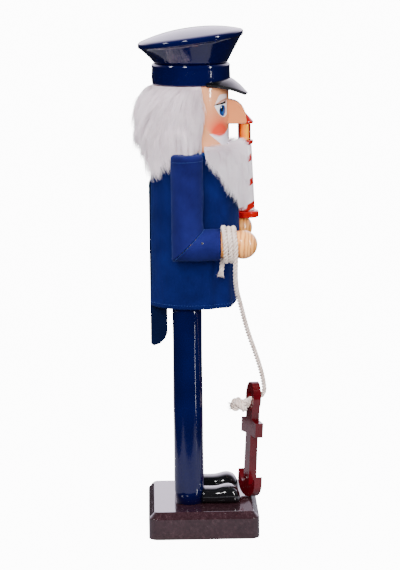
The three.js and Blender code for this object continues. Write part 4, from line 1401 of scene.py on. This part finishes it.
def coat_of_fur(base, label, panels, body, slot_name, material, columns=72, **inputs):
    """Fur over a hide in several panels, so that no one piece is heavy; returns the panels."""
    grown_panels = []
    for k in range(panels):
        part = strip_of(base, f"{label}_base", columns * k // panels, columns * (k + 1) // panels, columns)
        area = sum(p.area for p in part.data.polygons)
        inputs["Density"] = STRANDS_PER_PANEL / area
        grown_panels.append(grown(f"{label}_{k + 1}", part, fur, body, slot_name, material, Seed=11 + k,
                                  **inputs))
        discard(part)
    return grown_panels


coat_of_fur(hair_hide, "hair_fur", 4, "figure", "hair_fur", hair_fur,
            **{"Shortest": 0.010, "Longest": 0.018, "Unruly": 0.11, "Clumping": 0.3, "Strand radius": 0.0058})
felt = hair_hide.modifiers.new("felt", "SOLIDIFY")
felt.thickness, felt.offset = 0.003, -1
fit_out(hair_hide, "figure", "hair_fur", hair_fur, "hair")


# Beard. The same fur on a bib that starts under the painted moustache; on the figure its root is glued to the
# jaw, but here the pieces belong to no body and keep their place.
beard_low, beard_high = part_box("beard")
# The first tone, at the roots, is painted shade.
beard_fur = fur_with_painted_root_shade("beard_fur", (0.74, 0.62, 0.68), (0.94, 0.83, 0.90), (1.0, 0.93, 0.98))
BEARD_TOP = 0.2925
beard_profile = [(0.248, 0.0372), (0.262, 0.0386), (0.278, 0.0380), (0.287, 0.0358), (0.2925, 0.0322)]


def beard_bottom(turn):
    return between([(0, 0.2520), (0.35, 0.2540), (0.9, 0.2685), (1.1, 0.278), (1.35, 0.2865)], turn)


def beard_radius(z, turn):
    return between(beard_profile, z)


def beard_comb(turn, z, outward):
    tangent = Vector((-outward.y, outward.x, 0))
    rising = between([(0.25, 0.04), (0.27, 0.22), (0.284, 0.55), (0.2925, 0.9)], z)
    falling = between([(0.25, -1), (0.284, -1), (0.289, -0.4), (0.2925, 0.15)], z)
    forward_pull = -0.42 * math.sin(turn)
    return (outward * rising - tangent * forward_pull + Vector((0, 0, falling))).normalized()


def beard_reach(turn, z):
    return between([(0, 0.85), (0.6, 0.85), (1.3, 0.62)], turn) * between([(0.25, 0.95), (0.27, 1.0),
            (0.2925, 0.8)], z)


BEARD_HALF_ANGLE = math.radians(74)
beard_hide = hide("beard_felt", BEARD_HALF_ANGLE, -1, beard_bottom, BEARD_TOP, beard_radius, beard_comb,
                  beard_reach)
beard_pieces = coat_of_fur(beard_hide, "beard_fur", 3, None, "beard_fur", beard_fur,
                           **{"Shortest": 0.009, "Longest": 0.015, "Unruly": 0.08, "Clumping": 0.22,
                              "Strand radius": 0.0065})
felt = beard_hide.modifiers.new("felt", "SOLIDIFY")
felt.thickness, felt.offset = 0.0022, -1
fit_out(beard_hide, None, "beard_fur", beard_fur, "beard")
for piece in (beard_hide, *beard_pieces):
    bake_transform(piece)


# Lighthouse. Turned and dowelled to the left fist: red foot and gallery, white tower with a red
# ribbon winding down it, an amber lantern between four red posts, and a red cone roof.
tower_low, tower_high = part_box("lighthouse_tower")
light_axis = Vector(((tower_low.x + tower_high.x) / 2, (tower_low.y + tower_high.y) / 2, 0))
RIBBON_PITCH = 0.0185
RIBBON_SHARE = 0.27


def ribbon(tree):
    """A red band that winds down to the right as one walks round the tower."""
    place = object_place(tree)
    parts = chain(tree, "ShaderNodeSeparateXYZ", {"Vector": place}).outputs
    across = calc(tree, "SUBTRACT", parts["X"], light_axis.x)
    deep = calc(tree, "SUBTRACT", parts["Y"], light_axis.y)
    turns = calc(tree, "DIVIDE", calc(tree, "ARCTAN2", deep, across), 2 * math.pi)
    climb = calc(tree, "DIVIDE", calc(tree, "SUBTRACT", parts["Z"], tower_low.z + 0.002), RIBBON_PITCH)
    shake = chain(tree, "ShaderNodeTexNoise", {"Vector": place, "Scale": 160, "Detail": 2}).outputs[0]
    phase = calc(tree, "FRACT", calc(tree, "MULTIPLY_ADD", shake, 0.05, calc(tree, "SUBTRACT", climb, turns)))
    off_middle = calc(tree, "ABSOLUTE", calc(tree, "SUBTRACT", phase, 0.5))
    band_mask = inside(tree, calc(tree, "SUBTRACT", RIBBON_SHARE / 2, off_middle), 0.02)
    return brushed(tree, (0.97, 0.88, 0.94), (0.46, 0.002, 0.002), band_mask)


def painted_lamp_light(tree):
    """Amber paint with painted light: lighter toward the front side, as if the lamp were lit."""
    place = object_place(tree)
    parts = chain(tree, "ShaderNodeSeparateXYZ", {"Vector": place}).outputs
    deep = calc(tree, "DIVIDE", calc(tree, "SUBTRACT", light_axis.y, parts["Y"]), 0.0046)
    streak = chain(tree, "ShaderNodeTexNoise", {"Vector": place, "Scale": 220, "Detail": 2}).outputs[0]
    share = calc(tree, "MULTIPLY_ADD", streak, 0.35, calc(tree, "MULTIPLY_ADD", deep, 0.42, 0.28), clamp=True)
    return ramp(tree, share, [(0.08, (0.5, 0.02, 0.0)), (0.35, (1.0, 0.21, 0.0)), (0.8, (1.0, 0.46, 0.01))])


red_lacquer = lacquer("red_lacquer", (0.44, 0.0015, 0.0015), scale=60, shade=0.12, gloss=0.05, ripple=0.0003)
# The posts take a darker copy of the red lacquer: painted shade on the same paint as the roof.
shaded_post_lacquer = lacquer("shaded_post_lacquer", (0.16, 0.001, 0.0015), scale=60, shade=0.12, gloss=0.06, ripple=0.0003)
tower_lacquer = lacquer("tower_lacquer", ribbon, scale=60, shade=0.05, gloss=0.06, ripple=0.0003)
amber_paint = lacquer("amber_paint", painted_lamp_light, scale=60, shade=0.05, gloss=0.1, ripple=0.0003)
# The same colour also glows faintly: painted light, since the lantern holds no lamp.
amber_shader = amber_paint.node_tree.nodes["Principled BSDF"]
amber_paint.node_tree.links.new(amber_shader.inputs["Base Color"].links[0].from_socket,
                                amber_shader.inputs["Emission Color"])
amber_shader.inputs["Emission Strength"].default_value = 0.55


def light_part(name, node, slot_name, material, shape, softness=0.0007):
    """A turned part of the lighthouse; shape gets (radius, bottom, top) of the solid it stands for."""
    low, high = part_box(node)
    profile = shape((high.x - low.x) / 2, low.z, high.z)
    piece = turned(name, rounded(profile, softness), light_axis, segments=64)
    fit_out(piece, "figure", slot_name, material, node)


light_part("lighthouse_foot", "lighthouse_base", "red_lacquer", red_lacquer,
           lambda r, z0, z1: [(0, z0), (r, z0), (r, z1), (0, z1)], 0.0012)
light_part("lighthouse_shaft", "lighthouse_tower", "tower_lacquer", tower_lacquer,
           lambda r, z0, z1: [(0, z0), (r, z0), (r * 0.735, z1), (0, z1)])
light_part("lighthouse_balcony", "lighthouse_gallery", "red_lacquer", red_lacquer,
           lambda r, z0, z1: [(0, z0), (r - 0.0012, z0), (r, z0 + 0.0016), (r, z1), (0, z1)])
light_part("lighthouse_lamp", "lighthouse_lantern", "amber_paint", amber_paint,
           lambda r, z0, z1: [(0, z0), (r, z0), (r, z1), (0, z1)], 0.0004)
light_part("lighthouse_cap", "lighthouse_roof", "red_lacquer", red_lacquer,
           lambda r, z0, z1: [(0, z0), (r, z0), (r, z0 + 0.0017), (0.0011, z1 - 0.0009), (0.0005, z1),
                              (0, z1)], 0.0006)
for number in range(1, 5):
    low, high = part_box(f"lantern_post_{number}")
    middle = (low + high) / 2
    post = turned(f"lantern_rail_{number}", [(0, low.z), ((high.x - low.x) / 2, low.z),
                                             ((high.x - low.x) / 2, high.z), (0, high.z)],
                  (middle.x, middle.y, 0), segments=24)
    fit_out(crisp(post), "figure", "red_lacquer", shaded_post_lacquer, f"lantern_post_{number}")


# Anchor. Sawn from thin board, edges rounded over, dipped in dark red; it hangs in the rope and
# leans on the right toe.
maroon_lacquer = lacquer("maroon_lacquer", (0.065, 0.0016, 0.0035), scale=45, shade=0.4, gloss=0.06,
                         ripple=0.0005, coat=0.3)
anchor_board = softened("anchor_board", "anchor", 0.0011, segments=4, limit=40)
fit_out(anchor_board, "figure", "maroon_lacquer", maroon_lacquer, "anchor")


# Studio. A white floor and surround, a tall narrow softbox ahead of the figure's right side, two
# small high lamps behind it, a broad one overhead and a weak fill that only lights, without glare.
def studio_floor():
    material, tree, shader = principled("studio_floor", Roughness=0.8, Specular_IOR_Level=0.2)
    place = object_place(tree)
    cloud = chain(tree, "ShaderNodeTexNoise", {"Vector": place, "Scale": 3, "Detail": 2})
    tone = ramp(tree, cloud.outputs[0], [(0.3, (0.22, 0.22, 0.24)), (0.7, (0.25, 0.25, 0.27))])
    tree.links.new(tone, shader.inputs["Base Color"])
    seen = chain(tree, "ShaderNodeLightPath").outputs["Is Camera Ray"]
    shader.inputs["Emission Color"].default_value = (1, 1, 1, 1)
    tree.links.new(calc(tree, "MULTIPLY_ADD", seen, 12.0, 0.0), shader.inputs["Emission Strength"])
    return material


floor = new_piece("studio_floor", [
    (-0.27, -0.27, 0), (0.55, -0.27, 0), (0.55, 0.27, 0), (-0.27, 0.27, 0)], [(0, 1, 2, 3)], smooth=False)
floor.data.materials.append(studio_floor())


def softbox(name, place, target, width, height, power, glossy=True):
    lamp = bpy.data.lights.new(name, "AREA")
    lamp.shape = "RECTANGLE"
    lamp.size, lamp.size_y = width, height
    lamp.energy = power
    box = bpy.data.objects.new(name, lamp)
    box.location = place
    box.rotation_mode = "QUATERNION"
    box.rotation_quaternion = (Vector(target) - Vector(place)).to_track_quat("-Z", "Y")
    box.visible_glossy = glossy
    bpy.context.scene.collection.objects.link(box)


softbox("strip softbox", (-1.0, -1.7, 0.85), (0, 0, 0.25), 0.12, 1.1, 24)
softbox("low strip", (-0.95, -1.65, -0.25), (0, 0, 0.1), 0.05, 0.14, 0.5)
softbox("high lamp", (-1.45, 0.5, 1.35), (0, 0, 0.3), 0.26, 0.26, 12)
softbox("rear lamp", (-0.6, 1.45, 1.35), (0, 0, 0.3), 0.26, 0.26, 12)
softbox("overhead softbox", (-0.3, 0.1, 1.9), (0, 0, 0.15), 1.4, 1.4, 40, glossy=False)
softbox("front fill", (-2.2, 0.2, 0.9), (0, 0, 0.2), 1.2, 1.2, 98, glossy=False)

world = bpy.data.worlds.new("studio")
bpy.context.scene.world = world
world.use_nodes = True
world.node_tree.nodes.clear()
direction = chain(world.node_tree, "ShaderNodeTexCoord").outputs["Generated"]
facing = chain(world.node_tree, "ShaderNodeSeparateXYZ", {"Vector": direction})
behind = calc(world.node_tree, "MULTIPLY_ADD", facing.outputs["X"], 0.5, 0.5)
above = calc(world.node_tree, "MULTIPLY_ADD", facing.outputs["Z"], 12.0, -0.4, clamp=True)
surround = ramp(world.node_tree, calc(world.node_tree, "MULTIPLY", behind, above),
                [(0.3, (0.025, 0.025, 0.03)), (0.62, (0.2, 0.2, 0.24)), (0.93, (3.1, 2.8, 3.4))])
dim = chain(world.node_tree, "ShaderNodeBackground", {"Color": surround, "Strength": 1.0})
white = chain(world.node_tree, "ShaderNodeBackground", {"Color": (1, 1, 1, 1), "Strength": 12.5})
seen = chain(world.node_tree, "ShaderNodeLightPath").outputs["Is Camera Ray"]
both = chain(world.node_tree, "ShaderNodeMixShader", {"Fac": seen, 1: dim.outputs[0], 2: white.outputs[0]})
chain(world.node_tree, "ShaderNodeOutputWorld", {"Surface": both.outputs[0]})
